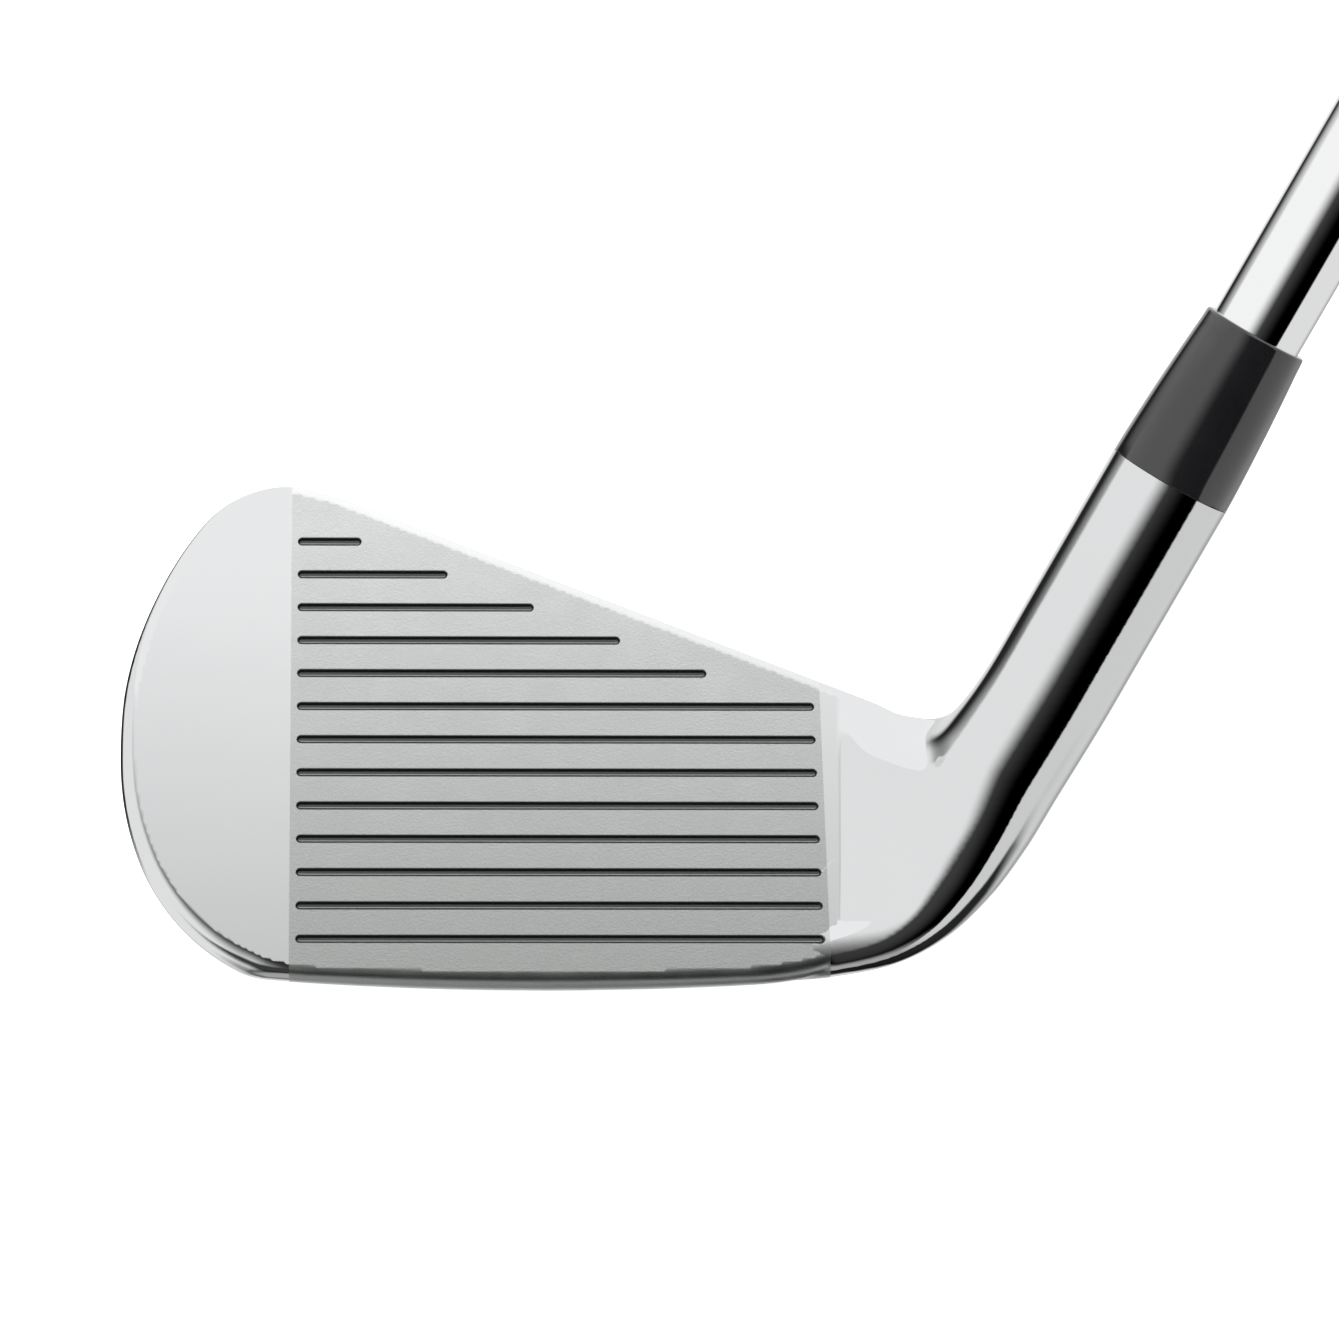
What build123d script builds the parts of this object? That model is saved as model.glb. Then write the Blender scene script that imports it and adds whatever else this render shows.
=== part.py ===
"""Long iron golf club: forged cavity-back head, ferrule, stepped steel shaft and rubber grip.

Frame: +X runs from toe to heel, +Y runs from face to back, +Z is up.  The origin is the point where
the sole touches the ground, under the middle of the face.  Millimetres.
"""
from build123d import *

import os
from math import cos, pi, radians, sin, tan

# ---- driving dimensions -------------------------------------------------------------------------
LOFT = 21.0                     # face leans back from the vertical
LIE = 61.0                      # shaft leans up from the ground, in the plane y = AXIS_Y
CLUB_LENGTH = 990.6             # 39 in, from the ground along the shaft axis to the end of the grip

FACE_Y = -9.14                  # the face plane meets the ground plane on this line
AXIS_X = 34.8                   # the shaft axis meets the ground plane here
AXIS_Y = -5.34

# blade
TOPLINE_HEIGHT = 45.8           # up the face at x = 0
TOPLINE_SLOPE = -0.388          # rise per mm towards the heel
TOPLINE_THICKNESS = 5.4
SOLE_CAMBER_RADIUS = 385.0      # toe to heel
SOLE_RADIUS = 38.0              # front to back
SOLE_BOUNCE_FRONT = 8.0         # slope of the sole behind the leading edge
SOLE_RISE_BACK = 13.0           # slope of the sole before the trailing edge
TRAILING_Y = 10.5
TRAILING_Y_HEEL = 8.5
LEADING_EDGE_RADIUS = 2.6
TRAILING_EDGE_RADIUS = 2.8
TOPLINE_FRONT_RADIUS = 0.9
TOPLINE_BACK_RADIUS = 1.6
TOE_OVERRUN_X = -56.0           # the lofted blade runs past the toe and is trimmed to the toe curve
TOE_STATIONS = (TOE_OVERRUN_X, -38.0, -24.0, -12.0, 0.0, 12.0)
NECK_LEAD_X = 20.0              # the smooth neck starts here, a little inside the straight blade
NECK_X = 28.0                   # the section planes are upright up to here, then fan round the neck

# neck: section planes turn about the pivot; inner and outer are distances from the pivot
NECK_FAN = (                    # (angle, inner outline, outer outline)
    (7.5, 18.1, 48.1),
    (15.0, 19.8, 46.95),
    (30.0, 22.8, 42.1),
    (45.0, 23.5, 38.3),
)
HOSEL_RADIUS = 6.76
HOSEL_START = 40.0              # along the axis from the ground, where the neck is fully round
HOSEL_TOP = 63.0
HOSEL_OVERLAP = 4.0
# directions, seen along the axis, of the sides of the five-sided figure drawn round the hosel
HOSEL_SIDE_ANGLES = (180.0, 250.0, 290.0, 0.0, 90.0)
HOSEL_CORNER_ARC = 6.0          # degrees of the hosel's circle that stand for one side of that figure
NECK_CORNER_FILL = 0.9          # corner radius at the end of the neck, as a share of the hosel's radius
SIDE_FILL = 0.96                # rounded corners use at most this much of a section's side

# toe curve in the face plane, (x, height up the face), from topline to sole
TOE_CURVE = (
    (-20.0, 54.6), (-28.0, 55.5), (-35.8, 51.8), (-41.2, 43.6), (-44.6, 32.6),
    (-44.6, 21.8), (-41.6, 12.8), (-35.8, 5.6), (-27.0, 1.0),
)
TOE_DRAFT = 0.27                # the toe curve's lower end rises by this per mm behind the face
TOE_DEPTH = 24.0
TOE_MARGIN = 12.0
TOE_EDGE_RADIUS = 0.7
TOE_RIM_SHORTEST = 1.0          # shorter edges are left out of the toe rim
ON_FACE = 0.02                  # an edge this close to the face plane lies in it
CLEAR_HEIGHT = 83.0             # cutters reach this far up the face, well past the topline
CLEAR_DEPTH = 36.0              # and this far behind it
CUT_OVERSHOOT = 2.0             # drills start this far outside the surface

# face
GROOVE_COUNT = 13
GROOVE_PITCH = 3.556
GROOVE_WIDTH = 0.9
GROOVE_DEPTH = 0.45
GROOVE_LOWEST = 6.7             # up the face
GROOVE_TOE_X = -26.2
GROOVE_HEEL_X = 29.6            # of the lowest groove
GROOVE_HEEL_LEAN = -0.036       # the long grooves' heel ends lean towards the toe as they go up
SHORT_GROOVES = 5               # the top ones, where the heel line is above the topline
GROOVE_TOPLINE_GAP = 3.95       # short grooves stop this far below the topline

# back: a thin upper plate over a thick muscle, with a shallow pocket for the badge in the plate
PLATE_THICKNESS = 6.0
MUSCLE_HEIGHT = 21.0            # up the face
MUSCLE_HEEL_X = 21.0
MUSCLE_CORNER = 4.0
POCKET_FLOOR = 3.4              # thickness of the face wall behind the pocket
POCKET_BOTTOM = 25.5
POCKET_HEEL_X = 15.0
POCKET_TOE_X = -38.0
POCKET_TOE_HEIGHT = 43.0
POCKET_PEAK_X = -28.0
POCKET_RIM = 5.2                # rim left along the topline
POCKET_CORNER = 4.0
BADGE_GAP = 0.4                 # between the badge and the pocket wall
BADGE_THICKNESS = 1.2
BADGE_EDGE = 0.3
TAPE_THICKNESS = 0.5
TAPE_INSET = 1.0                # the tape is smaller than the badge all round

# tungsten weights, pressed into blind holes in the muscle
WEIGHT_RADIUS = 3.6
WEIGHT_LENGTH = 8.0
WEIGHT_HEIGHT = 10.0            # of the hole's centre above the ground
WEIGHT_SUNK = 0.4               # the weights stand back from the muscle by this
WEIGHT_EDGE = 0.3
TOE_WEIGHT_X = -30.5
HEEL_WEIGHT_X = 16.0

# hosel bore and what is bonded in it
BORE_RADIUS = 4.75
BORE_DEPTH = 34.0
EPOXY_FLOOR = 1.0
TIP_RADIUS = 4.6                # shaft tip
SHAFT_WALL = 0.45
PLUG_LENGTH = 14.0              # steel swing weight in the shaft tip

FERRULE_LENGTH = 17.8
FERRULE_BASE_RADIUS = 6.74
FERRULE_TOP_RADIUS = 5.72
FERRULE_EDGE = 0.25
FERRULE_FOOT = 0.6              # short straight foot that meets the hosel

# shaft: radius grows in steps from the tip end to the butt end
SHAFT_RADIUS_LOW = 4.98
SHAFT_RADIUS_BUTT = 7.62
STEP_LENGTH = 44.45
STEP_COUNT = 14
STEP_FIRST = 215.0              # along the axis from the ground
STEP_BLEND = 2.5

BAND_LENGTH = 34.0              # plain printed band round the shaft below the grip
BAND_THICKNESS = 0.12
BAND_GAP = 25.0                 # bare shaft between the band and the grip

# grip
GRIP_LENGTH = 267.0
GRIP_TAPE_THICKNESS = 0.3
GRIP_TAPE_INSET = 2.0
GRIP_MOUTH_RADIUS = 9.1
GRIP_BUTT_RADIUS = 13.2
GRIP_EDGE = 0.8
GRIP_RINGS = 5                  # moulded rings at each end of the grip
GRIP_RING_PITCH = 3.2
GRIP_RING_WIDTH = 1.4
GRIP_RING_DEPTH = 0.35
GRIP_RING_MARGIN = 7.0
CAP_LENGTH = 6.5
CAP_RADIUS = 13.9
CAP_EDGE = 2.2
CAP_BEVEL = 0.73
VENT_RADIUS = 1.5

# ---- derived geometry -----------------------------------------------------------------------------
FACE_UP = Vector(0, sin(radians(LOFT)), cos(radians(LOFT)))
FACE_IN = Vector(0, cos(radians(LOFT)), -sin(radians(LOFT)))
FACE_ORIGIN = Vector(0, FACE_Y, 0)
FACE_PLANE = Plane(origin=FACE_ORIGIN, x_dir=(1, 0, 0), z_dir=(0, -cos(radians(LOFT)), sin(radians(LOFT))))
AXIS_DIR = Vector(cos(radians(LIE)), 0, sin(radians(LIE)))
AXIS_FOOT = Vector(AXIS_X, AXIS_Y, 0)
# local z runs up the shaft, local x stays in the plane of the lie angle
AXIS_PLANE = Plane(origin=AXIS_FOOT, x_dir=(sin(radians(LIE)), 0, -cos(radians(LIE))), z_dir=AXIS_DIR)
AXIS_MID = AXIS_FOOT + AXIS_DIR * HOSEL_START
PIVOT_REACH = (AXIS_MID.X - NECK_X) / sin(radians(LIE))
PIVOT = Vector(NECK_X, 0, AXIS_MID.Z + PIVOT_REACH * cos(radians(LIE)))
BLADE_RADII = (TOPLINE_FRONT_RADIUS, LEADING_EDGE_RADIUS, SOLE_RADIUS,
               TRAILING_EDGE_RADIUS, TOPLINE_BACK_RADIUS)
TIP_START = HOSEL_TOP - BORE_DEPTH + EPOXY_FLOOR
FERRULE_TOP = HOSEL_TOP + FERRULE_LENGTH
SHAFT_END = CLUB_LENGTH - CAP_LENGTH
GRIP_START = CLUB_LENGTH - GRIP_LENGTH


def topline(x):
    """Height of the topline up the face."""
    return TOPLINE_HEIGHT + TOPLINE_SLOPE * x


def face_point(x, up, depth=0.0):
    """Point at x, so far up the face and so deep behind it."""
    return FACE_ORIGIN + Vector(x, 0, 0) + FACE_UP * up + FACE_IN * depth


def smoothstep(t):
    return t * t * (3 - 2 * t)


# ---- sections of the head -------------------------------------------------------------------------
def blade_corners(x):
    """Corners (y, z) of the upright blade section: face top, leading edge, sole, trailing edge, back."""
    lift = x * x / (2 * SOLE_CAMBER_RADIUS)
    front = radians(SOLE_BOUNCE_FRONT)
    back = radians(SOLE_RISE_BACK)
    # the two sole lines are tangents of the sole arc, whose lowest point is y = 0
    sole_y = SOLE_RADIUS * (1 / cos(back) - 1 / cos(front)) / (tan(front) + tan(back))
    sole_z = -tan(front) * sole_y - SOLE_RADIUS * (1 / cos(front) - 1)
    lead_z = (sole_z + lift + tan(front) * (sole_y - FACE_Y)) / (1 + tan(front) * tan(radians(LOFT)))
    trail_y = TRAILING_Y + (TRAILING_Y_HEEL - TRAILING_Y) * max(x, 0) / NECK_X
    trail_z = sole_z + tan(back) * (trail_y - sole_y)
    top = face_point(x, topline(x))
    back_top = face_point(x, topline(x), TOPLINE_THICKNESS)
    return [
        (top.Y, top.Z),
        (FACE_Y + lead_z * tan(radians(LOFT)), lead_z),
        (sole_y, sole_z + lift),
        (trail_y, trail_z + lift),
        (back_top.Y, back_top.Z),
    ]


def polygon_round_circle(centre, radius):
    """Corners of the figure whose sides touch the circle at HOSEL_SIDE_ANGLES."""
    corners = []
    count = len(HOSEL_SIDE_ANGLES)
    for i in range(count):
        before = HOSEL_SIDE_ANGLES[i - 1]
        after = HOSEL_SIDE_ANGLES[i]
        turn = (after - before) % 360
        middle = radians(before + turn / 2)
        reach = radius / cos(radians(turn / 2))
        corners.append((centre[0] + reach * cos(middle), centre[1] + reach * sin(middle)))
    return corners


def rounded_wire(corners, radii, place):
    """Wire of lines and arcs: the figure's corners rounded, then placed in space by place(v, u)."""
    count = len(corners)
    points = [Vector(*corner) for corner in corners]
    sides = [points[(i + 1) % count] - points[i] for i in range(count)]
    halves = [(pi - radians(abs(sides[i - 1].get_angle(sides[i])))) / 2 for i in range(count)]
    reaches = [radii[i] / tan(halves[i]) for i in range(count)]
    room = [SIDE_FILL * sides[i].length / (reaches[i] + reaches[(i + 1) % count]) for i in range(count)]
    edges = []
    tangents = []
    for i in range(count):
        reach = reaches[i] * min(1.0, room[i - 1], room[i])
        to_last = -sides[i - 1].normalized()
        to_next = sides[i].normalized()
        radius = reach * tan(halves[i])
        to_middle = (to_last + to_next).normalized() * (radius / sin(halves[i]) - radius)
        tangents.append([points[i] + to_last * reach, points[i] + to_middle, points[i] + to_next * reach])
    for i in range(count):
        start, middle, end = [place(p.X, p.Y) for p in tangents[i]]
        following = tangents[(i + 1) % count][0]
        edges.append(Edge.make_three_point_arc(start, middle, end))
        edges.append(Edge.make_line(end, place(following.X, following.Y)))
    return Wire(edges)


def blade_wire(x):
    return rounded_wire(blade_corners(x), BLADE_RADII, lambda y, z: Vector(x, y, z))


def fan_place(angle):
    """Placing function for a plane turned by the angle about the pivot."""
    outward = Vector(sin(radians(angle)), 0, -cos(radians(angle)))
    return lambda y, u: PIVOT + outward * -u + Vector(0, y, 0)


def neck_wire(angle, inner, outer):
    """Section part of the way from the blade's end to the round hosel."""
    blend = smoothstep(angle / LIE)
    blade = blade_corners(NECK_X)
    blade_top = blade[0][1]
    blade_low = NECK_X ** 2 / (2 * SOLE_CAMBER_RADIUS)
    stretch = (outer - inner) / (blade_top - blade_low)
    middle = -(inner + outer) / 2
    half_height = (outer - inner) / 2
    round_corners = polygon_round_circle((0, 0), 1.0)
    corners = []
    for (y, z), (round_y, round_u) in zip(blade, round_corners):
        blade_u = -inner + (z - blade_top) * stretch
        hosel_y = AXIS_Y + round_y * HOSEL_RADIUS
        hosel_u = middle + round_u * half_height
        corners.append((y + (hosel_y - y) * blend, blade_u + (hosel_u - blade_u) * blend))
    radii = [r + (HOSEL_RADIUS * NECK_CORNER_FILL - r) * blend for r in BLADE_RADII]
    return rounded_wire(corners, radii, fan_place(angle))


def hosel_wire(along):
    """Full circle round the shaft axis, cut into as many arcs as the other sections have edges."""
    centre = AXIS_FOOT + AXIS_DIR * along
    in_plane = Vector(-sin(radians(LIE)), 0, cos(radians(LIE)))

    def at(angle):
        across = cos(radians(angle)) * HOSEL_RADIUS
        up = sin(radians(angle)) * HOSEL_RADIUS
        return centre + Vector(0, across, 0) + in_plane * up

    edges = []
    count = len(HOSEL_SIDE_ANGLES)
    for i in range(count):
        start = HOSEL_SIDE_ANGLES[i - 1] + HOSEL_CORNER_ARC / 2
        turn = (HOSEL_SIDE_ANGLES[i] - HOSEL_SIDE_ANGLES[i - 1]) % 360 - HOSEL_CORNER_ARC
        end = start + turn
        edges.append(Edge.make_three_point_arc(at(start), at(start + turn / 2), at(end)))
        side_middle = end + HOSEL_CORNER_ARC / 2
        side_end = end + HOSEL_CORNER_ARC
        edges.append(Edge.make_three_point_arc(at(end), at(side_middle), at(side_end)))
    return Wire(edges)


def along_axis(distance):
    """Plane across the shaft axis, this far along it from the ground."""
    return Plane(origin=AXIS_FOOT + AXIS_DIR * distance, x_dir=AXIS_PLANE.x_dir, z_dir=AXIS_DIR)


def turned(profile):
    """Solid turned round the shaft axis from (radius, distance along the axis) points."""
    half = Plane(origin=AXIS_FOOT, x_dir=AXIS_PLANE.x_dir, z_dir=AXIS_PLANE.y_dir * -1)
    outline = half * Polyline(*profile, close=True)
    return revolve(make_face(outline), Axis(AXIS_FOOT, AXIS_DIR))


# ---- head ---------------------------------------------------------------------------------------
def lofted_head():
    """Blade, neck and hosel before the toe is rounded off."""
    straight = Solid.make_loft([blade_wire(x) for x in TOE_STATIONS + (NECK_LEAD_X,)], ruled=True)
    wires = [blade_wire(NECK_LEAD_X), blade_wire(NECK_X)]
    wires += [neck_wire(*station) for station in NECK_FAN]
    wires += [hosel_wire(HOSEL_START), hosel_wire(HOSEL_START + HOSEL_OVERLAP)]
    neck = Solid.make_loft(wires)
    start = HOSEL_START + HOSEL_OVERLAP
    hosel = along_axis(start) * Cylinder(
        HOSEL_RADIUS, HOSEL_TOP - start, align=(Align.CENTER, Align.CENTER, Align.MIN))
    return Part() + [straight, neck, hosel]


def toe_waste():
    """Everything outside the toe curve, to be cut away from the lofted blade."""
    faces = []
    for depth in (-TOE_MARGIN, TOE_DEPTH):
        points = [(x, up + TOE_DRAFT * depth * max(1 - up / TOE_CURVE[0][1], 0)) for x, up in TOE_CURVE]
        curve = Spline(*points)
        top = points[0]
        bottom = points[-1]
        left = TOE_OVERRUN_X - TOE_MARGIN
        frame = Polyline(bottom, (bottom[0], -TOE_MARGIN), (left, -TOE_MARGIN), (left, CLEAR_HEIGHT),
                         (top[0], CLEAR_HEIGHT), top)
        place = Plane(origin=FACE_ORIGIN + FACE_IN * depth, x_dir=(1, 0, 0), z_dir=FACE_PLANE.z_dir)
        faces.append(place * make_face([curve, frame]))
    return loft(faces, ruled=True)


def behind_face(point):
    return (point - FACE_ORIGIN).dot(FACE_IN)


def on_toe_rim(edge):
    """True for the edge where the toe meets the face."""
    middle = edge @ 0.5
    in_face = abs(behind_face(middle)) < ON_FACE
    return middle.X < TOE_STATIONS[2] and in_face and edge.length > TOE_RIM_SHORTEST


def face_slab(sketch, depth_from, depth_to):
    """Slab over a sketch of (x, height up the face), between two depths behind the face."""
    place = Plane(origin=FACE_ORIGIN + FACE_IN * depth_from, x_dir=(1, 0, 0), z_dir=FACE_PLANE.z_dir)
    return extrude(place * sketch, depth_from - depth_to)


def muscle_relief():
    """Waste above the muscle, behind the thin upper plate."""
    left = TOE_OVERRUN_X - TOE_MARGIN
    shelf = Polyline((left, CLEAR_HEIGHT), (left, MUSCLE_HEIGHT), (MUSCLE_HEEL_X, MUSCLE_HEIGHT),
                     (MUSCLE_HEEL_X, CLEAR_HEIGHT), close=True)
    waste = face_slab(make_face(shelf), PLATE_THICKNESS, CLEAR_DEPTH)
    floor = waste.faces().sort_by(Axis(FACE_ORIGIN, FACE_IN))[0]
    bottom = floor.edges().sort_by(Axis(FACE_ORIGIN, FACE_UP))[0]
    heel_end = floor.edges().sort_by(Axis.X)[-1]
    return fillet([bottom, heel_end], MUSCLE_CORNER)


def pocket_outline(inset):
    """Badge pocket in the upper plate: follows the topline and the toe, drawn in by the inset."""
    points = [
        (POCKET_TOE_X, POCKET_BOTTOM),
        (POCKET_HEEL_X, POCKET_BOTTOM),
        (POCKET_HEEL_X, topline(POCKET_HEEL_X) - POCKET_RIM),
        (POCKET_PEAK_X, topline(POCKET_PEAK_X) - POCKET_RIM),
        (POCKET_TOE_X, POCKET_TOE_HEIGHT),
    ]
    sketch = make_face(Polyline(*points, close=True))
    pocket = fillet(sketch.vertices(), POCKET_CORNER)
    return offset(pocket, amount=-inset) if inset else pocket


def groove_heel_end(i, up):
    """Long grooves run to the heel line, and the short top ones stop below the topline."""
    if i < GROOVE_COUNT - SHORT_GROOVES:
        return GROOVE_HEEL_X + GROOVE_HEEL_LEAN * (up - GROOVE_LOWEST)
    return (up + GROOVE_TOPLINE_GAP - TOPLINE_HEIGHT) / TOPLINE_SLOPE


def score_lines():
    cutters = []
    for i in range(GROOVE_COUNT):
        up = GROOVE_LOWEST + i * GROOVE_PITCH
        heel = groove_heel_end(i, up)
        middle = (GROOVE_TOE_X + heel) / 2
        slot = Pos(middle, up) * SlotOverall(heel - GROOVE_TOE_X, GROOVE_WIDTH)
        cutters.append(face_slab(slot, -GROOVE_DEPTH, GROOVE_DEPTH))
    return cutters


def weight_place(x):
    """Plane on the muscle's back surface, facing out of it, where a weight goes in."""
    back = blade_corners(x)
    trail = Vector(x, *back[3])
    top = Vector(x, *back[4])
    slope = (top - trail).normalized()
    centre = trail + slope * ((WEIGHT_HEIGHT - trail.Z) / slope.Z)
    return Plane(origin=centre, x_dir=(1, 0, 0), z_dir=Vector(0, slope.Z, -slope.Y))


def drilled(plane, radius, depth):
    """Cylinder that goes into the plane's back by the depth."""
    return plane * Cylinder(radius, depth, align=(Align.CENTER, Align.CENTER, Align.MAX))


def head_body():
    head = lofted_head() - toe_waste()
    head = fillet([edge for edge in head.edges() if on_toe_rim(edge)], TOE_EDGE_RADIUS)
    head -= muscle_relief()
    head -= face_slab(pocket_outline(0), POCKET_FLOOR, CLEAR_DEPTH)
    head -= score_lines()
    for x in (TOE_WEIGHT_X, HEEL_WEIGHT_X):
        start = weight_place(x).offset(CUT_OVERSHOOT)
        head -= drilled(start, WEIGHT_RADIUS, CUT_OVERSHOOT + WEIGHT_SUNK + WEIGHT_LENGTH)
    head -= drilled(along_axis(HOSEL_TOP + CUT_OVERSHOOT), BORE_RADIUS, CUT_OVERSHOOT + BORE_DEPTH)
    return head


def sole_weight(x):
    pin = drilled(weight_place(x).offset(-WEIGHT_SUNK), WEIGHT_RADIUS, WEIGHT_LENGTH)
    outer = pin.edges().sort_by(Axis.Y)[-1]
    return chamfer(outer, WEIGHT_EDGE)


def cavity_badge():
    depth = POCKET_FLOOR + TAPE_THICKNESS
    badge = face_slab(pocket_outline(BADGE_GAP), depth, depth + BADGE_THICKNESS)
    outer = badge.faces().sort_by(Axis(FACE_ORIGIN, FACE_IN))[-1]
    return chamfer(outer.edges(), BADGE_EDGE)


def badge_tape():
    return face_slab(pocket_outline(BADGE_GAP + TAPE_INSET), POCKET_FLOOR, POCKET_FLOOR + TAPE_THICKNESS)


# ---- shaft and what it carries ---------------------------------------------------------------------
def shaft_radius_after(steps):
    return SHAFT_RADIUS_LOW + (SHAFT_RADIUS_BUTT - SHAFT_RADIUS_LOW) * steps / STEP_COUNT


def shaft_profile():
    """(radius, distance) points up the outside of the shaft."""
    points = [(TIP_RADIUS, TIP_START), (TIP_RADIUS, HOSEL_TOP), (SHAFT_RADIUS_LOW, FERRULE_TOP)]
    for step in range(STEP_COUNT):
        at = STEP_FIRST + step * STEP_LENGTH
        points.append((shaft_radius_after(step), at))
        points.append((shaft_radius_after(step + 1), at + STEP_BLEND))
    points.append((SHAFT_RADIUS_BUTT, SHAFT_END))
    return points


def shaft_radius(distance):
    """Outside radius of the shaft at a distance along the axis."""
    points = shaft_profile()
    for (r0, s0), (r1, s1) in zip(points, points[1:]):
        if s0 <= distance <= s1:
            return r0 + (r1 - r0) * (distance - s0) / (s1 - s0)
    return SHAFT_RADIUS_BUTT


def shaft():
    outside = shaft_profile()
    inside = [(radius - SHAFT_WALL, distance) for radius, distance in reversed(outside)]
    return turned(outside + inside)


def epoxy_sleeve():
    floor = TIP_START - EPOXY_FLOOR
    return turned([(0, floor), (BORE_RADIUS, floor), (BORE_RADIUS, HOSEL_TOP), (TIP_RADIUS, HOSEL_TOP),
                   (TIP_RADIUS, TIP_START), (0, TIP_START)])


def tip_weight():
    radius = TIP_RADIUS - SHAFT_WALL
    return turned([(0, TIP_START), (radius, TIP_START), (radius, TIP_START + PLUG_LENGTH - FERRULE_EDGE),
                   (radius - FERRULE_EDGE, TIP_START + PLUG_LENGTH), (0, TIP_START + PLUG_LENGTH)])


def ferrule():
    return turned([
        (TIP_RADIUS, HOSEL_TOP),
        (FERRULE_BASE_RADIUS, HOSEL_TOP),
        (FERRULE_BASE_RADIUS, HOSEL_TOP + FERRULE_FOOT),
        (FERRULE_TOP_RADIUS, FERRULE_TOP - FERRULE_EDGE),
        (FERRULE_TOP_RADIUS - FERRULE_EDGE, FERRULE_TOP),
        (SHAFT_RADIUS_LOW, FERRULE_TOP),
    ])


def layer_on_shaft(start, end, inner_extra, outer_extra):
    """Thin sleeve that follows the shaft's steps."""
    stops = [start] + [s for _, s in shaft_profile() if start < s < end] + [end]
    inner = [(shaft_radius(s) + inner_extra, s) for s in stops]
    outer = [(shaft_radius(s) + outer_extra, s) for s in reversed(stops)]
    return inner, outer


def shaft_band():
    end = GRIP_START - BAND_GAP
    inner, outer = layer_on_shaft(end - BAND_LENGTH, end, 0, BAND_THICKNESS)
    return turned(inner + outer)


def grip_tape():
    inner, outer = layer_on_shaft(GRIP_START + GRIP_TAPE_INSET, SHAFT_END, 0, GRIP_TAPE_THICKNESS)
    return turned(inner + outer)


def grip_radius(distance):
    """Outside of the grip: a straight taper from the mouth to the butt."""
    share = (distance - GRIP_START) / GRIP_LENGTH
    return GRIP_MOUTH_RADIUS + (GRIP_BUTT_RADIUS - GRIP_MOUTH_RADIUS) * share


def grip_sleeve():
    tape_start = GRIP_START + GRIP_TAPE_INSET
    inner, _ = layer_on_shaft(tape_start, SHAFT_END, GRIP_TAPE_THICKNESS, 0)
    mouth_inner = [(shaft_radius(GRIP_START), GRIP_START), (shaft_radius(tape_start), tape_start)]
    outer = [(grip_radius(SHAFT_END), SHAFT_END)]
    ring_starts = [GRIP_START + GRIP_RING_MARGIN + i * GRIP_RING_PITCH for i in range(GRIP_RINGS)]
    ring_starts += [SHAFT_END - GRIP_RING_MARGIN - i * GRIP_RING_PITCH for i in range(GRIP_RINGS)]
    for start in sorted(ring_starts, reverse=True):
        end = start + GRIP_RING_WIDTH
        outer += [
            (grip_radius(end), end),
            (grip_radius(end) - GRIP_RING_DEPTH, end - GRIP_RING_DEPTH),
            (grip_radius(start) - GRIP_RING_DEPTH, start + GRIP_RING_DEPTH),
            (grip_radius(start), start),
        ]
    outer += [(grip_radius(GRIP_START), GRIP_START + GRIP_EDGE), (GRIP_MOUTH_RADIUS - GRIP_EDGE, GRIP_START)]
    return turned(mouth_inner + inner + outer)


def grip_cap():
    return turned([
        (VENT_RADIUS, SHAFT_END),
        (grip_radius(SHAFT_END), SHAFT_END),
        (CAP_RADIUS, SHAFT_END + CAP_BEVEL),
        (CAP_RADIUS, CLUB_LENGTH - CAP_EDGE),
        (CAP_RADIUS - CAP_BEVEL, CLUB_LENGTH - CAP_BEVEL),
        (CAP_RADIUS - CAP_EDGE, CLUB_LENGTH),
        (VENT_RADIUS, CLUB_LENGTH),
    ])


NODES = {
    "head_body": head_body(),
    "toe_weight": sole_weight(TOE_WEIGHT_X),
    "heel_weight": sole_weight(HEEL_WEIGHT_X),
    "badge_tape": badge_tape(),
    "cavity_badge": cavity_badge(),
    "epoxy_sleeve": epoxy_sleeve(),
    "tip_weight": tip_weight(),
    "ferrule": ferrule(),
    "shaft": shaft(),
    "shaft_band": shaft_band(),
    "grip_tape": grip_tape(),
    "grip_sleeve": grip_sleeve(),
    "grip_cap": grip_cap(),
}

os.makedirs("parts", exist_ok=True)
for name, solid in NODES.items():
    export_step(solid, f"parts/{name}.step")
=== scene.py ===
"""Looks of the iron golf club: head, ferrule, stepped shaft and grip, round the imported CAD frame."""
import math

import bmesh
import bpy
import numpy as np
import openvdb
from mathutils import Matrix, Vector


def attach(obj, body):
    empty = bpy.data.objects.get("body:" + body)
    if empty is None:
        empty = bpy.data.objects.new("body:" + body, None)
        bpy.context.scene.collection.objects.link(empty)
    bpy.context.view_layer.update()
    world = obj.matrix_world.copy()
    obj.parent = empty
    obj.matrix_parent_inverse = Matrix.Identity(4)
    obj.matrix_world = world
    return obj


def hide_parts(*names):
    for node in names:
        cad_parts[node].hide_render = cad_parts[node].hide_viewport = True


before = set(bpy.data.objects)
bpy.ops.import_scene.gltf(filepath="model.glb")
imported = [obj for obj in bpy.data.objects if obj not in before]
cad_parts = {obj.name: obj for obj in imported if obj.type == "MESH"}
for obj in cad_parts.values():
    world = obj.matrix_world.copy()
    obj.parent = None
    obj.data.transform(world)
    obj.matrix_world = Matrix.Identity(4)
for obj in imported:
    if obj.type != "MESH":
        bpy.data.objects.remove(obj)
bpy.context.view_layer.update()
MM = 0.001

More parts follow.
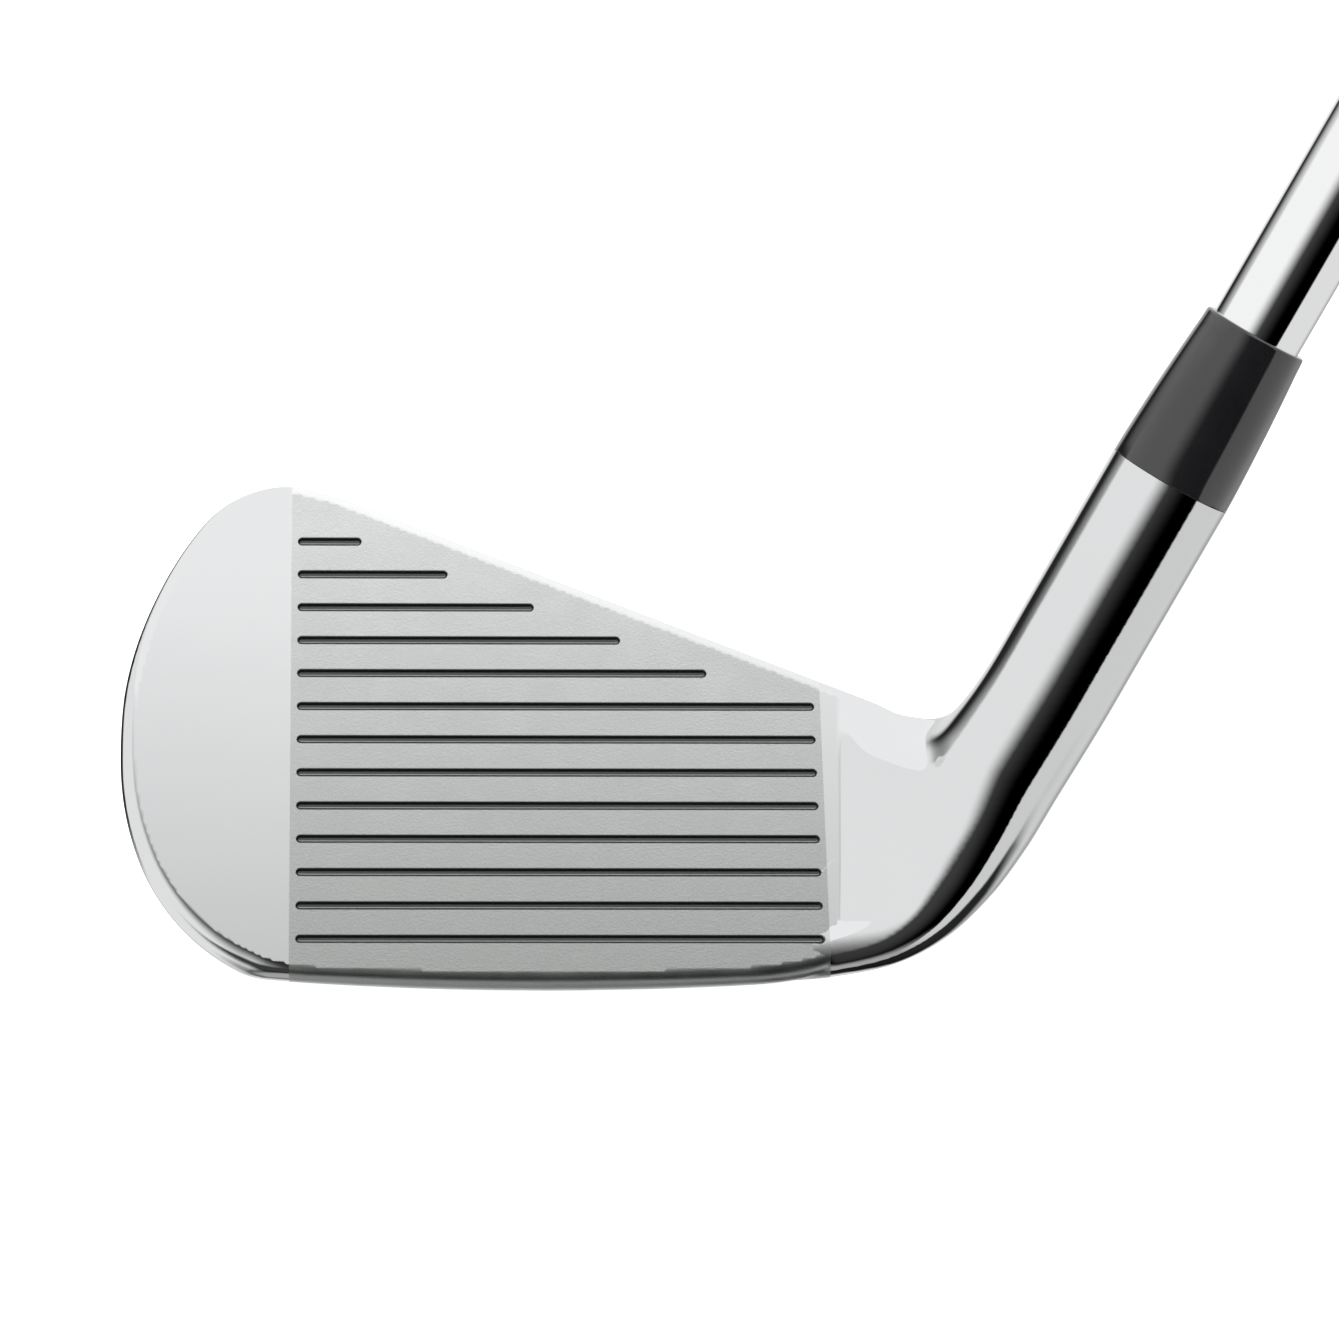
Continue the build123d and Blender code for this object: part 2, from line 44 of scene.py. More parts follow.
# ---- head: sizes in millimetres, in the CAD frame ----
LOFT = math.radians(21.0)
LIE = math.radians(61.0)
AXIS = Vector((math.cos(LIE), 0, math.sin(LIE)))
FACE_Y = -9.14
AXIS_X = 34.8
AXIS_Y = -5.34
HOSEL_RADIUS = 6.76
HOSEL_TOP = 63.0
HOSEL_SPARE = 2.0  # modelled above the hosel's top, then cut off square
BORE_RADIUS = 4.75
BORE_DEPTH = 34.0

BLADE_HEIGHT = 55.0
TOPLINE_HEIGHT = 45.8
TOPLINE_SLOPE = -0.388
TOPLINE_THICKNESS = 5.4
TOPLINE_ROUND = 0.9
TOPLINE_BACK_ROUND = 1.6
LEADING_ROUND = 2.6
LEADING_FADE = 7.0  # up the face, from the leading edge's rounding to that of the rim above
TRAILING_ROUND = 2.8
SOLE_CAMBER = 385.0
SOLE_RADIUS = 38.0
TRAILING = (10.9, 1.7)  # (y, z) on the back of the blade, near the trailing edge
HEEL_TAPER = (25.0, 11.2)  # (x, y) where the back starts to turn in towards the hosel
HEEL_TAPER_ANGLE = math.radians(33.0)
HEEL_TAPER_ROUND = 14.0

# cosines of the angles between outward normals where two sides of the blade meet
TOE_SOLE_COSINE = 0.93
FACE_SOLE_COSINE = -0.225
BACK_RIM_COSINE = 0.28

# blend of blade and hosel
CROTCH_REACH = 14.0  # width of the blend under the topline
CROTCH_SIDE_REACH = 0.5  # on the face and the back
CROTCH_FADE = 8.0  # below the topline, from one to the other
CROTCH_SIDE = 0.3  # no blend nearer the heel's centre line than this share of its radius
CROTCH_SIDE_OVER = 0.6
CROTCH_RISE = 9.0  # heelward of SWELL_FROM
CROTCH_FROM = -2.0  # along the axis
CROTCH_TO = 12.0
NO_BLEND = 1e-3
SWELL_FROM = 31.0  # the face swells forward from here to meet the hosel
SWELL_MEETS = 0.55  # at this share of the heel's radius from its centre line
SWELL_UNDER = 0.165  # and this share of the radius behind its front
SWELL_DROP = 0.25  # it drops away by this share inside the hosel
SWELL_EASE = 0.12  # the rise starts softly over this share of the way and is then straight
SWELL_BELOW = 7.0  # and grows to its full height this far below the topline
HEEL_TUCK = 4.0  # the blade's rim draws in behind the rounded heel
HEEL_TUCK_FROM = -5.0  # along the axis
HEEL_TUCK_OVER = 16.0

# outline of the toe and topline on the face: (x, height up the face), anticlockwise
TOE_CURVE = (
    (62.0, 21.74), (20.0, 38.04), (-8.0, 48.9), (-16.0, 52.0), (-23.3, 54.7), (-28.2, 55.45),
    (-33.9, 53.4), (-38.2, 48.65), (-42.3, 40.9), (-44.4, 33.6), (-44.86, 26.2), (-44.5, 21.4),
    (-43.5, 17.1), (-41.75, 12.85), (-38.9, 8.7), (-35.2, 5.3), (-30.4, 2.6), (-24.0, 0.6), (-15.0, -1.2),
)
TOE_DRAFT = 0.27  # the toe leans in towards the back, most of all near the sole
TOE_DRAFT_START = 2.5  # behind the face
TOE_ROUND_FROM = -24.0  # the toe's own edge rounding starts here
TOE_ROUND_OVER = 8.0
TOE_ROUND_TOP = 0.8
TOE_ROUND_LOW = 2.4
TOE_SOLE_ROUND = 8.0
CURVE_STEPS = 60
CURVE_REFINE = 10

# underside of the heel in the plane of the shaft, (x, z), up to where it meets the round hosel
HEEL_LINE = (
    (4.0, 0.38), (14.0, 0.61), (23.0, 1.05), (31.0, 1.7), (37.5, 3.2), (42.4, 5.95), (46.85, 10.3),
    (50.7, 15.6), (54.3, 21.7),
)
HOSEL_LINE = (37.0, 44.0, 56.0, 84.0)  # along the axis: the same line is the hosel's outside here
HEEL_TUBE_Y = -4.2  # y of the rounded heel's centre line where it starts
HEEL_ROUND_FROM = -5.0  # along the axis: the heel's radius grows from LEADING_ROUND here
HEEL_ROUND_TO = 28.0  # to the hosel's radius here

PLATE_THICKNESS = 6.0
MUSCLE_HEIGHT = 21.0
MUSCLE_HEEL_X = 21.0
MUSCLE_ROUND = 4.0
MUSCLE_HEEL_ROUND = 6.0
SHELF_EDGE_ROUND = 0.8
POCKET = ((-38.0, 25.5), (15.0, 25.5), (15.0, 34.8), (-28.0, 51.46), (-38.0, 43.0))
POCKET_ROUND = 4.0
POCKET_FLOOR = 3.4
POCKET_EDGE_ROUND = 0.5
WEIGHT_RADIUS = 3.6
WEIGHT_DEPTH = 8.4
WEIGHT_HEIGHT = 10.0
WEIGHT_X = (-30.5, 16.0)

GROOVE_COUNT = 13
GROOVE_PITCH = 3.556
GROOVE_WIDTH = 0.94
GROOVE_DEPTH = 0.45
GROOVE_LOWEST = 6.7
GROOVE_TOE_X = -26.2
GROOVE_HEEL_X = 29.6
GROOVE_HEEL_LEAN = -0.036
SHORT_GROOVES = 5
GROOVE_TOPLINE_GAP = 3.95

# mesh of the head
VOXEL = 0.36
BLOCK = 16  # points along the side of a block
NEAR_BLOCK = 1.17  # a surface is no farther than this from a block's middle, in block sides
FIELD_BAND = 3  # the field is kept this far each side of the surface, in voxels
BATCH = 64  # blocks worked out at once
SETTLE_ROUNDS = 3
SLOPE_STEP = 0.1  # in voxels
LARGEST_MOVE = 0.6  # in voxels
GRID_LOW = np.array([-47.0, -3.0, -27.0])  # x, up the face, behind the face
GRID_HIGH = np.array([76.0, 62.0, 24.0])

GROOVE_END_POINTS = 10
BORE_SEGMENTS = 96
WEIGHT_SEGMENTS = 64
TURNED_SEGMENTS = 128
FLAT_LIMIT = 2e-5
SHARP_ANGLE = math.radians(32.0)

# where colours change, mm
BLAST_TOE_X = -26.84
BLAST_HEEL_X = 30.4
BLAST_HEEL_LEAN = -0.037
BLAST_EDGE = 0.06
BLAST_DEPTH = 3.6  # it wraps this far round the leading edge
BLAST_DEPTH_EDGE = 0.4
PAINTED_SHADE_TOP = 48.0  # height where the painted shade on the blasted steel has faded out, so it is lightest here
SCORED_FROM = 5.0  # height where the grooves' colours start: grey, with painted shade on their walls that look down
SCORED_TOP_GAP = 2.0  # below the topline, where they end
SCORED_EDGE = 0.2
SCORED_DEPTH = (0.03, 0.12)  # behind the face, from its own colour to the grooves'
INLAY = (28.9, 34.1)  # height of the badge's dark stripe
PRINT_EDGE = 0.1

# shaft, ferrule and grip: radii and distances along the shaft axis from the ground, in mm
TIP_RADIUS = 4.6
SHAFT_WALL = 0.45
TIP_START = HOSEL_TOP - BORE_DEPTH + 1.0
FERRULE_TOP = 80.8
FERRULE_BASE_RADIUS = 6.74
FERRULE_TOP_RADIUS = 5.72
FERRULE_SWELL = 0.12  # its side bulges by this
FERRULE_STEPS = 16
FERRULE_FOOT = 0.5  # the side starts this far above the hosel
FERRULE_ENDS = 1.1  # both rounded ends together
FERRULE_FOOT_ROUND = 0.16
FERRULE_TOP_ROUND = 0.35
SHAFT_RADIUS_LOW = 4.98
SHAFT_RADIUS_BUTT = 7.62
STEP_FIRST = 215.0
STEP_LENGTH = 44.45
STEP_COUNT = 14
STEP_BLEND = 2.5
STEP_ROUND = 0.8
STEP_LEAD = 5.0  # straight lengths before and after a step's slope
STEP_TRAIL = 10.0
SHAFT_RINGS = (100.0, 130.0, 160.0, 190.0)  # keep the faces below the first step short
CLUB_LENGTH = 990.6
SHAFT_END = 984.1
GRIP_START = 723.6
GRIP_LENGTH = 267.0
GRIP_MOUTH_RADIUS = 9.1
GRIP_MOUTH_ROUND = 0.8
GRIP_BUTT_RADIUS = 13.2
GRIP_TAPE_THICKNESS = 0.3
GRIP_TAPE_INSET = 2.0
CAP_RADIUS = 13.9
CAP_BEVEL = 0.73
CAP_SHOULDER = 2.2
VENT_RADIUS = 1.5
BAND_LENGTH = 34.0
BAND_GAP = 25.0  # between the band and the grip
BAND_THICKNESS = 0.12
BAND_LINE = (12.8, 13.9)  # the thin light line, from the middle of the band

# moulded relief of the grip
GRIP_ROWS = 620
GRIP_SEGMENTS = 150
GRIP_LANES = 16  # slanting channels round the grip
GRIP_CELL = 5.4  # between two channels along the grip
GRIP_CHANNEL = 0.13  # half width of a channel, as a share of a cell
GRIP_RELIEF = 0.22
GRIP_PLAIN_END = 30.0
GRIP_PLAIN_EASE = 4.0
GRIP_RING_PITCH = 58.0
GRIP_RING_HALF = 3.0
GRIP_RIB_COUNT = 5
GRIP_RIB_PITCH = 3.2
GRIP_RIB_HALF = 0.7
GRIP_RIB_DEPTH = 0.35
GRIP_RIB_INSET = 7.0

# sealed inside the club: (node, material, dark, light, roughness, metallic)
HIDDEN = (
    ("badge_tape", "bond_tape", (0.05, 0.05, 0.055, 1), (0.09, 0.09, 0.1, 1), 0.7, 0.0),
    ("epoxy_sleeve", "epoxy", (0.32, 0.27, 0.18, 1), (0.42, 0.36, 0.25, 1), 0.3, 0.0),
    ("tip_weight", "plug_brass", (0.55, 0.40, 0.16, 1), (0.68, 0.52, 0.24, 1), 0.25, 1.0),
    ("grip_tape", "grip_tape", (0.60, 0.54, 0.40, 1), (0.70, 0.64, 0.50, 1), 0.7, 0.0),
)

# studio: camera from the head's own middle, lamps and reflected cards by direction
CAMERA_TARGET = (13.0, -8.57, 35.478)
CAMERA_DISTANCE = 713.7
CAMERA_AZIMUTH = -1.526
CAMERA_ELEVATION = 10.552
CAMERA_ROLL = 0.377
CAMERA_LENS = 183.86
CAMERA_SENSOR = 36.0

# light by direction, in degrees: azimuth 0 is the camera's side and + the heel's; 180 is behind the club
SKY_FROM = 22.0  # elevation where the overhead light begins
SKY_RISE = 0.115  # per degree
SKY_LIMIT = 1.17
# (azimuth from, to, softness at each, elevation from, to, softness, strength)
PANELS = (
    (-110.0, -18.0, 30.0, 32.0, -24.0, 60.0, 16.0, 1.05),
    (-150.0, -50.0, 40.0, 30.0, -60.0, 60.0, 20.0, 1.05),
    (-150.0, 4.0, 40.0, 40.0, -60.0, 20.0, 20.0, 0.06),
    (47.0, 148.0, 4.0, 50.0, -75.0, 40.0, 20.0, 0.84),
    (150.0, 215.0, 30.0, 20.0, -60.0, 40.0, 20.0, 0.9),
    (-181.0, 181.0, 1.0, 1.0, -91.0, -68.0, 16.0, 0.5),
)
CARDS = (
    (-154.0, -112.0, 12.0, 10.0, -20.0, 22.0, 16.0, 0.97),
    (88.0, 165.0, 12.0, 12.0, -91.0, -42.0, 12.0, 0.97),
)
PAST_THE_BACK = 181.0
# (name, place, size in metres, watts)
LAMPS = (
    ("key_lamp", (-0.6, -1.2, 1.8), 1.2, 12.0),
    ("top_lamp", (0.3, 0.3, 2.4), 1.6, 20.0),
)
LAMP_AIM = (0.05, 0.0, 0.03)
WHITE = (1.0, 1.0, 1.0, 1.0)
FLOOR_GLOW = 0.85
FLOOR_HALF_WIDTH = 12.0


# ---- distance fields ----
def smoothstep(t):
    t = np.clip(t, 0.0, 1.0)
    return t * t * (3.0 - 2.0 * t)


def between(start, end, share):
    return start + (end - start) * share


def round_cut(a, b, radius, cosine=0.0):
    """Intersection of two signed distances with a round outer edge.

    cosine is that of the angle between the two surfaces' outward normals.
    """
    p = radius + a
    q = radius + b
    spread = 1.0 - cosine * cosine
    alpha = (p - cosine * q) / spread
    beta = (q - cosine * p) / spread
    squared = alpha * alpha + beta * beta + 2 * alpha * beta * cosine
    rounded = np.sqrt(np.maximum(squared, 0.0)) - radius
    return np.where((alpha > 0) & (beta > 0), rounded, np.maximum(a, b))


def through(points):
    """Smooth curve through the points, as rows."""
    points = np.array(points, float)
    ends = np.vstack([2 * points[0] - points[1], points, 2 * points[-1] - points[-2]])
    knots = np.concatenate([[0], np.cumsum(np.linalg.norm(np.diff(ends, axis=0), axis=1) ** 0.5)])
    rows = []
    for i in range(1, len(ends) - 2):
        t = np.linspace(knots[i], knots[i + 1], CURVE_STEPS, endpoint=False)[:, None]
        p = ends[i - 1:i + 3]
        k = knots[i - 1:i + 3]
        for gap in (1, 2):
            p = [((k[j + gap] - t) * p[j] + (t - k[j]) * p[j + 1]) / (k[j + gap] - k[j])
                 for j in range(len(p) - 1)]
        rows.append(((k[2] - t) * p[0] + (t - k[1]) * p[1]) / (k[2] - k[1]))
    rows.append(points[-1:])
    return np.vstack(rows)


def cubic_weights(t):
    """Weights of four neighbours for a smooth curve through the middle two."""
    return (((2.0 - t) * t - 1.0) * t / 2, ((3.0 * t - 5.0) * t * t + 2.0) / 2,
            ((4.0 - 3.0 * t) * t + 1.0) * t / 2, (t - 1.0) * t * t / 2)


class Chart:
    """Values worked out once on a flat grid and read back smoothly between its points."""

    LOW = (-62.0, -22.0)
    HIGH = (86.0, 78.0)
    STEP = 0.25

    def __init__(self, values):
        self.values = values

    @classmethod
    def grid(cls):
        counts = [int((high - low) / cls.STEP) + 2 for low, high in zip(cls.LOW, cls.HIGH)]
        a, b = [low + np.arange(n) * cls.STEP for low, n in zip(cls.LOW, counts)]
        return np.meshgrid(a, b, indexing="ij")

    def __call__(self, a, b):
        rows, columns = self.values.shape
        i = np.clip((a - self.LOW[0]) / self.STEP, 1, rows - 2.001)
        j = np.clip((b - self.LOW[1]) / self.STEP, 1, columns - 2.001)
        i0 = i.astype(int)
        j0 = j.astype(int)
        across = cubic_weights(j - j0)
        total = 0.0
        for di, weight in enumerate(cubic_weights(i - i0)):
            row = sum(across[dj] * self.values[i0 + di - 1, j0 + dj - 1] for dj in range(4))
            total = total + weight * row
        return total


def to_segment(start, end, a, b):
    """Distance to a straight piece, and the side it is on (+1 is left)."""
    da, db = (end - start).T
    ra, rb = a - start[..., 0], b - start[..., 1]
    share = np.clip((ra * da + rb * db) / (da * da + db * db), 0.0, 1.0)
    return np.hypot(ra - share * da, rb - share * db), np.sign(da * rb - db * ra)


def nearest_on(curve, a, b):
    """Distance to a finely divided curve, and the side it is on: first roughly, then closely."""
    shape = a.shape
    a, b = a.ravel(), b.ravel()
    best = np.full(a.shape, 1e9)
    place = np.zeros(a.shape, int)
    rough = curve[::CURVE_REFINE]
    for i in range(len(rough) - 1):
        distance, _ = to_segment(rough[i], rough[i + 1], a, b)
        closer = distance < best
        best = np.where(closer, distance, best)
        place = np.where(closer, i * CURVE_REFINE, place)
    best = np.full(a.shape, 1e9)
    side = np.ones(a.shape)
    for offset in range(-CURVE_REFINE, 2 * CURVE_REFINE):
        index = np.clip(place + offset, 0, len(curve) - 2)
        distance, hand = to_segment(curve[index], curve[index + 1], a, b)
        closer = distance < best
        best = np.where(closer, distance, best)
        side = np.where(closer, hand, side)
    return best.reshape(shape), side.reshape(shape)


def signed_chart(curve):
    distance, side = nearest_on(curve, *Chart.grid())
    return Chart(-distance * side)


def along_axis(x, z):
    return (x - AXIS_X) * math.cos(LIE) + z * math.sin(LIE)


def from_axis(x, z):
    """Distance from the shaft's axis, positive on the toe side."""
    return z * math.cos(LIE) - (x - AXIS_X) * math.sin(LIE)


def heel_growth(x, z):
    """0 where the rounded heel is the leading edge, 1 where it is the round hosel."""
    return smoothstep((along_axis(x, z) - HEEL_ROUND_FROM) / (HEEL_ROUND_TO - HEEL_ROUND_FROM))


def heel_charts():
    """Distance to the rounded heel's centre line, that line's offset from the axis, and the underside.

    All are in the x-z plane. The offset is a pair of rows: places along the axis, and offsets there.
    """
    hosel = [(AXIS_X + s * math.cos(LIE) + HOSEL_RADIUS * math.sin(LIE),
              s * math.sin(LIE) - HOSEL_RADIUS * math.cos(LIE)) for s in HOSEL_LINE]
    outer = through(list(HEEL_LINE) + hosel)
    along = np.gradient(outer, axis=0)
    along /= np.linalg.norm(along, axis=1)[:, None]
    radius = between(LEADING_ROUND, HOSEL_RADIUS, heel_growth(*outer.T))
    centre = outer + np.stack([-along[:, 1], along[:, 0]], axis=1) * radius[:, None]
    first_x, first_z = HEEL_LINE[0]
    camber = [(x, first_z + (x * x - first_x ** 2) / (2 * SOLE_CAMBER))
              for x in np.linspace(-60, first_x, 60)]
    distance, _ = nearest_on(centre, *Chart.grid())
    offset = along_axis(*centre.T), from_axis(*centre.T)
    return Chart(distance), offset, signed_chart(np.vstack([camber[:-1], outer]))


OUTLINE = signed_chart(through(TOE_CURVE))
HEEL_DISTANCE, HEEL_OFFSET, UNDERSIDE = heel_charts()


def rounded_polygon(corners, radius, x, up):
    """Signed distance to a convex anticlockwise polygon with rounded corners."""
    sides = []
    for start, end in zip(corners, corners[1:] + corners[:1]):
        dx, dy = end[0] - start[0], end[1] - start[1]
        length = math.hypot(dx, dy)
        normal = (dy / length, -dx / length)
        sides.append((normal, (x - start[0]) * normal[0] + (up - start[1]) * normal[1]))
    last, result = sides[0]
    for normal, side in sides[1:] + sides[:1]:
        result = round_cut(result, side, radius, normal[0] * last[0] + normal[1] * last[1])
        last = normal
    return result


def on_axis(distance):
    """Point on the shaft's axis, in mm."""
    return Vector((AXIS_X, AXIS_Y, 0)) + AXIS * distance


def back_line(x):
    """Direction up the back of the blade, (y, z), from TRAILING to the back of the topline."""
    top_up = TOPLINE_HEIGHT + TOPLINE_SLOPE * x
    dy = FACE_Y + top_up * math.sin(LOFT) + TOPLINE_THICKNESS * math.cos(LOFT) - TRAILING[0]
    dz = top_up * math.cos(LOFT) - TOPLINE_THICKNESS * math.sin(LOFT) - TRAILING[1]
    length = np.hypot(dy, dz)
    return dy / length, dz / length


def heel_tube(x, z):
    """Radius of the rounded heel and y of its centre line."""
    grown = heel_growth(x, z)
    return between(LEADING_ROUND, HOSEL_RADIUS, grown), between(HEEL_TUBE_Y, AXIS_Y, grown)


def inside_heel(x, z):
    """Distance on the toe side of the rounded heel's centre line."""
    return from_axis(x, z) - np.interp(along_axis(x, z), *HEEL_OFFSET)


def face_swell(x, up, z):
    """How far the face swells forward, heelward of the score lines, to run into the hosel."""
    radius, centre_y = heel_tube(x, z)
    behind = FACE_Y + z * math.tan(LOFT) - (centre_y - radius)
    gap = inside_heel(x, z) - SWELL_MEETS * radius
    under = SWELL_UNDER + SWELL_DROP * smoothstep(-gap / (SWELL_MEETS * radius))
    full = np.maximum(behind * math.cos(LOFT) - under * radius, 0.0)
    full = full * smoothstep(-OUTLINE(x, up) / SWELL_BELOW)
    heelward = np.maximum(x - SWELL_FROM, 0.0)
    share = heelward / (heelward + np.maximum(gap, 0.0) + 1e-6)
    rise = np.where(share < SWELL_EASE, share * share / (2 * SWELL_EASE), share - SWELL_EASE / 2)
    return full * rise / (1 - SWELL_EASE / 2)


def blade_rim(x, up, depth, y, z, height):
    """Signed distance to the outline of the blade: topline, toe and sole."""
    draft = TOE_DRAFT * np.maximum(depth - TOE_DRAFT_START, 0.0) * (1 - height)
    outline = OUTLINE(x, up - draft)
    start_x, start_z = HEEL_LINE[0]
    camber = y * y / (2 * SOLE_RADIUS) - (start_z - start_x ** 2 / (2 * SOLE_CAMBER))
    tuck = HEEL_TUCK * smoothstep((along_axis(x, z) - HEEL_TUCK_FROM) / HEEL_TUCK_OVER)
    return round_cut(outline, UNDERSIDE(x, z - camber) + tuck, TOE_SOLE_ROUND, TOE_SOLE_COSINE)


def front_rounding(x, up, height):
    """Radius of the edge between face and rim, and how far it is the leading edge (1) or not (0)."""
    low = smoothstep(1.0 - up / LEADING_FADE)
    toe = smoothstep((TOE_ROUND_FROM - x) / TOE_ROUND_OVER)
    radius = between(TOPLINE_ROUND, between(TOE_ROUND_TOP, TOE_ROUND_LOW, 1 - height), toe)
    return between(radius, LEADING_ROUND, low), low


def blade_field(x, up, depth, y, z):
    height = np.clip(up / BLADE_HEIGHT, 0.0, 1.0)
    rim = blade_rim(x, up, depth, y, z, height)
    radius, low = front_rounding(x, up, height)
    blade = round_cut(rim, -depth - face_swell(x, up, z), radius, FACE_SOLE_COSINE * low)

    slope_y, slope_z = back_line(x)
    back = (y - TRAILING[0]) * slope_z - (z - TRAILING[1]) * slope_y
    inward, backward = math.sin(HEEL_TAPER_ANGLE), math.cos(HEEL_TAPER_ANGLE)
    taper = (x - HEEL_TAPER[0]) * inward + (y - HEEL_TAPER[1]) * backward
    back = round_cut(back, taper, HEEL_TAPER_ROUND, backward)
    return round_cut(blade, back, between(TOPLINE_BACK_ROUND, TRAILING_ROUND, 1 - height), BACK_RIM_COSINE)


def tube_field(x, y, z):
    """Rounded heel, growing into the round hosel, which goes on above its top."""
    radius, centre_y = heel_tube(x, z)
    tube = np.hypot(HEEL_DISTANCE(x, z), y - centre_y) - radius
    return np.maximum(tube, along_axis(x, z) - HOSEL_TOP - HOSEL_SPARE)


def stood_up(up, depth):
    """(y, z) of a place given by its height up the face and its depth behind it."""
    return (FACE_Y + up * math.sin(LOFT) + depth * math.cos(LOFT),
            up * math.cos(LOFT) - depth * math.sin(LOFT))


def joined_field(x, up, depth):
    """Blade and hosel run together in a smooth minimum that is widest under the topline."""
    y, z = stood_up(up, depth)
    blade = blade_field(x, up, depth, y, z)
    tube = tube_field(x, y, z)
    under_topline = smoothstep(1.0 + OUTLINE(x, up) / CROTCH_FADE)
    reach = between(CROTCH_SIDE_REACH, CROTCH_REACH, under_topline)
    radius, _ = heel_tube(x, z)
    reach = reach * smoothstep((inside_heel(x, z) / radius - CROTCH_SIDE) / CROTCH_SIDE_OVER)
    reach = reach * smoothstep((along_axis(x, z) - CROTCH_FROM) / (CROTCH_TO - CROTCH_FROM))
    reach = reach * smoothstep((x - SWELL_FROM) / CROTCH_RISE) + NO_BLEND
    share = np.maximum(reach - np.abs(blade - tube), 0.0) / reach
    return np.minimum(blade, tube) - share ** 3 * reach / 6


def head_field(x, up, depth):
    """Signed distance, negative inside, of the forged head before it is drilled and scored."""
    head = joined_field(x, up, depth)
    shelf = round_cut(x - MUSCLE_HEEL_X, MUSCLE_HEIGHT - up, MUSCLE_HEEL_ROUND)
    relief = round_cut(shelf, PLATE_THICKNESS - depth, MUSCLE_ROUND)
    head = round_cut(head, -relief, SHELF_EDGE_ROUND)
    pocket = np.maximum(rounded_polygon(POCKET, POCKET_ROUND, x, up), POCKET_FLOOR - depth)
    return round_cut(head, -pocket, POCKET_EDGE_ROUND)


# ---- mesh from a field ----
def carve(field, low, high, voxel):
    """Quad mesh of the field's zero surface: only blocks near the surface are worked out finely."""
    counts = np.ceil((high - low) / (voxel * BLOCK)).astype(int)
    blocks = np.stack(np.meshgrid(*[np.arange(n) for n in counts], indexing="ij"), axis=-1).reshape(-1, 3)
    centres = low + (blocks + 0.5) * voxel * BLOCK
    coarse = field(*centres.T)
    reach = voxel * BLOCK * NEAR_BLOCK
    band = voxel * FIELD_BAND
    grid = openvdb.FloatGrid(band)
    local = np.stack(np.meshgrid(*[np.arange(BLOCK)] * 3, indexing="ij"), axis=-1)
    inside = np.full((BLOCK,) * 3, -band, np.float32)
    for block in blocks[coarse <= -reach]:
        grid.copyFromArray(inside, ijk=tuple(int(v) for v in block * BLOCK))
    near = blocks[np.abs(coarse) < reach]
    for batch in np.array_split(near, max(1, len(near) // BATCH)):
        points = low + (batch[:, None, None, None, :] * BLOCK + local) * voxel
        values = np.clip(field(*np.moveaxis(points, -1, 0)), -band, band).astype(np.float32)
        for block, value in zip(batch, values):
            grid.copyFromArray(value, ijk=tuple(int(v) for v in block * BLOCK))
    points, quads = grid.convertToQuads(0.0)
    return low + points * voxel, quads[:, ::-1]


def slope_of(field, points, step):
    rises = [field(*(points + move).T) - field(*(points - move).T) for move in np.eye(3) * step]
    return np.stack(rises, axis=1) / (2 * step)


def settle(field, points, voxel):
    """Moves the points onto the field's zero surface."""
    for _ in range(SETTLE_ROUNDS):
        slope = slope_of(field, points, voxel * SLOPE_STEP)
        size = np.maximum((slope ** 2).sum(axis=1), 0.25)
        move = slope * (field(*points.T) / size)[:, None]
        length = np.linalg.norm(move, axis=1)
        move *= np.minimum(1.0, voxel * LARGEST_MOVE / np.maximum(length, 1e-9))[:, None]
        points = points - move
    return points


def face_to_frame(points):
    x, up, depth = np.asarray(points, float).T
    return np.stack([x, *stood_up(up, depth)], axis=1) * MM


# ---- head mesh ----
def new_object(name, points, faces):
    mesh = bpy.data.meshes.new(name)
    mesh.from_pydata([tuple(p) for p in points], [], [tuple(int(i) for i in f) for f in faces])
    mesh.update()
    piece = bpy.data.objects.new(name, mesh)
    bpy.context.scene.collection.objects.link(piece)
    return piece


def merge_face_plane(mesh, field_points):
    """Joins the many small faces on the blade's flat face into one."""
    on = np.abs(field_points[:, 2]) < FLAT_LIMIT
    shape = bmesh.new()
    shape.from_mesh(mesh)
    flat = [face for face in shape.faces if len(face.verts) == 4 and all(on[v.index] for v in face.verts)]
    bmesh.ops.dissolve_faces(shape, faces=flat, use_verts=True)
    shape.to_mesh(mesh)
    shape.free()


def shade(mesh):
    """Faces turned outward and shaded smooth, with hard edges where they meet at a sharp angle."""
    shape = bmesh.new()
    shape.from_mesh(mesh)
    bmesh.ops.recalc_face_normals(shape, faces=shape.faces)
    for face in shape.faces:
        face.smooth = True
    for edge in shape.edges:
        edge.smooth = len(edge.link_faces) == 2 and edge.calc_face_angle(0.0) < SHARP_ANGLE
    shape.to_mesh(mesh)
    shape.free()


def stadium(toe, heel, row, half, depth):
    """Ring of (x, up, depth) points round a groove."""
    ring = []
    for centre, start in ((heel - GROOVE_WIDTH / 2, -90), (toe + GROOVE_WIDTH / 2, 90)):
        for i in range(GROOVE_END_POINTS + 1):
            turn = math.radians(start + 180 * i / GROOVE_END_POINTS)
            ring.append((centre + half * math.cos(turn), row + half * math.sin(turn), depth))
    return ring


def rings_to_solid(rings):
    """Points and faces of a closed solid through rings of equal length, capped at both ends."""
    count = len(rings[0])
    points = [p for ring in rings for p in ring]
    faces = [tuple(range(count))[::-1], tuple(range(len(points) - count, len(points)))]
    for level in range(len(rings) - 1):
        for i in range(count):
            j = (i + 1) % count
            low = level * count
            faces.append((low + i, low + j, low + count + j, low + count + i))
    return points, faces


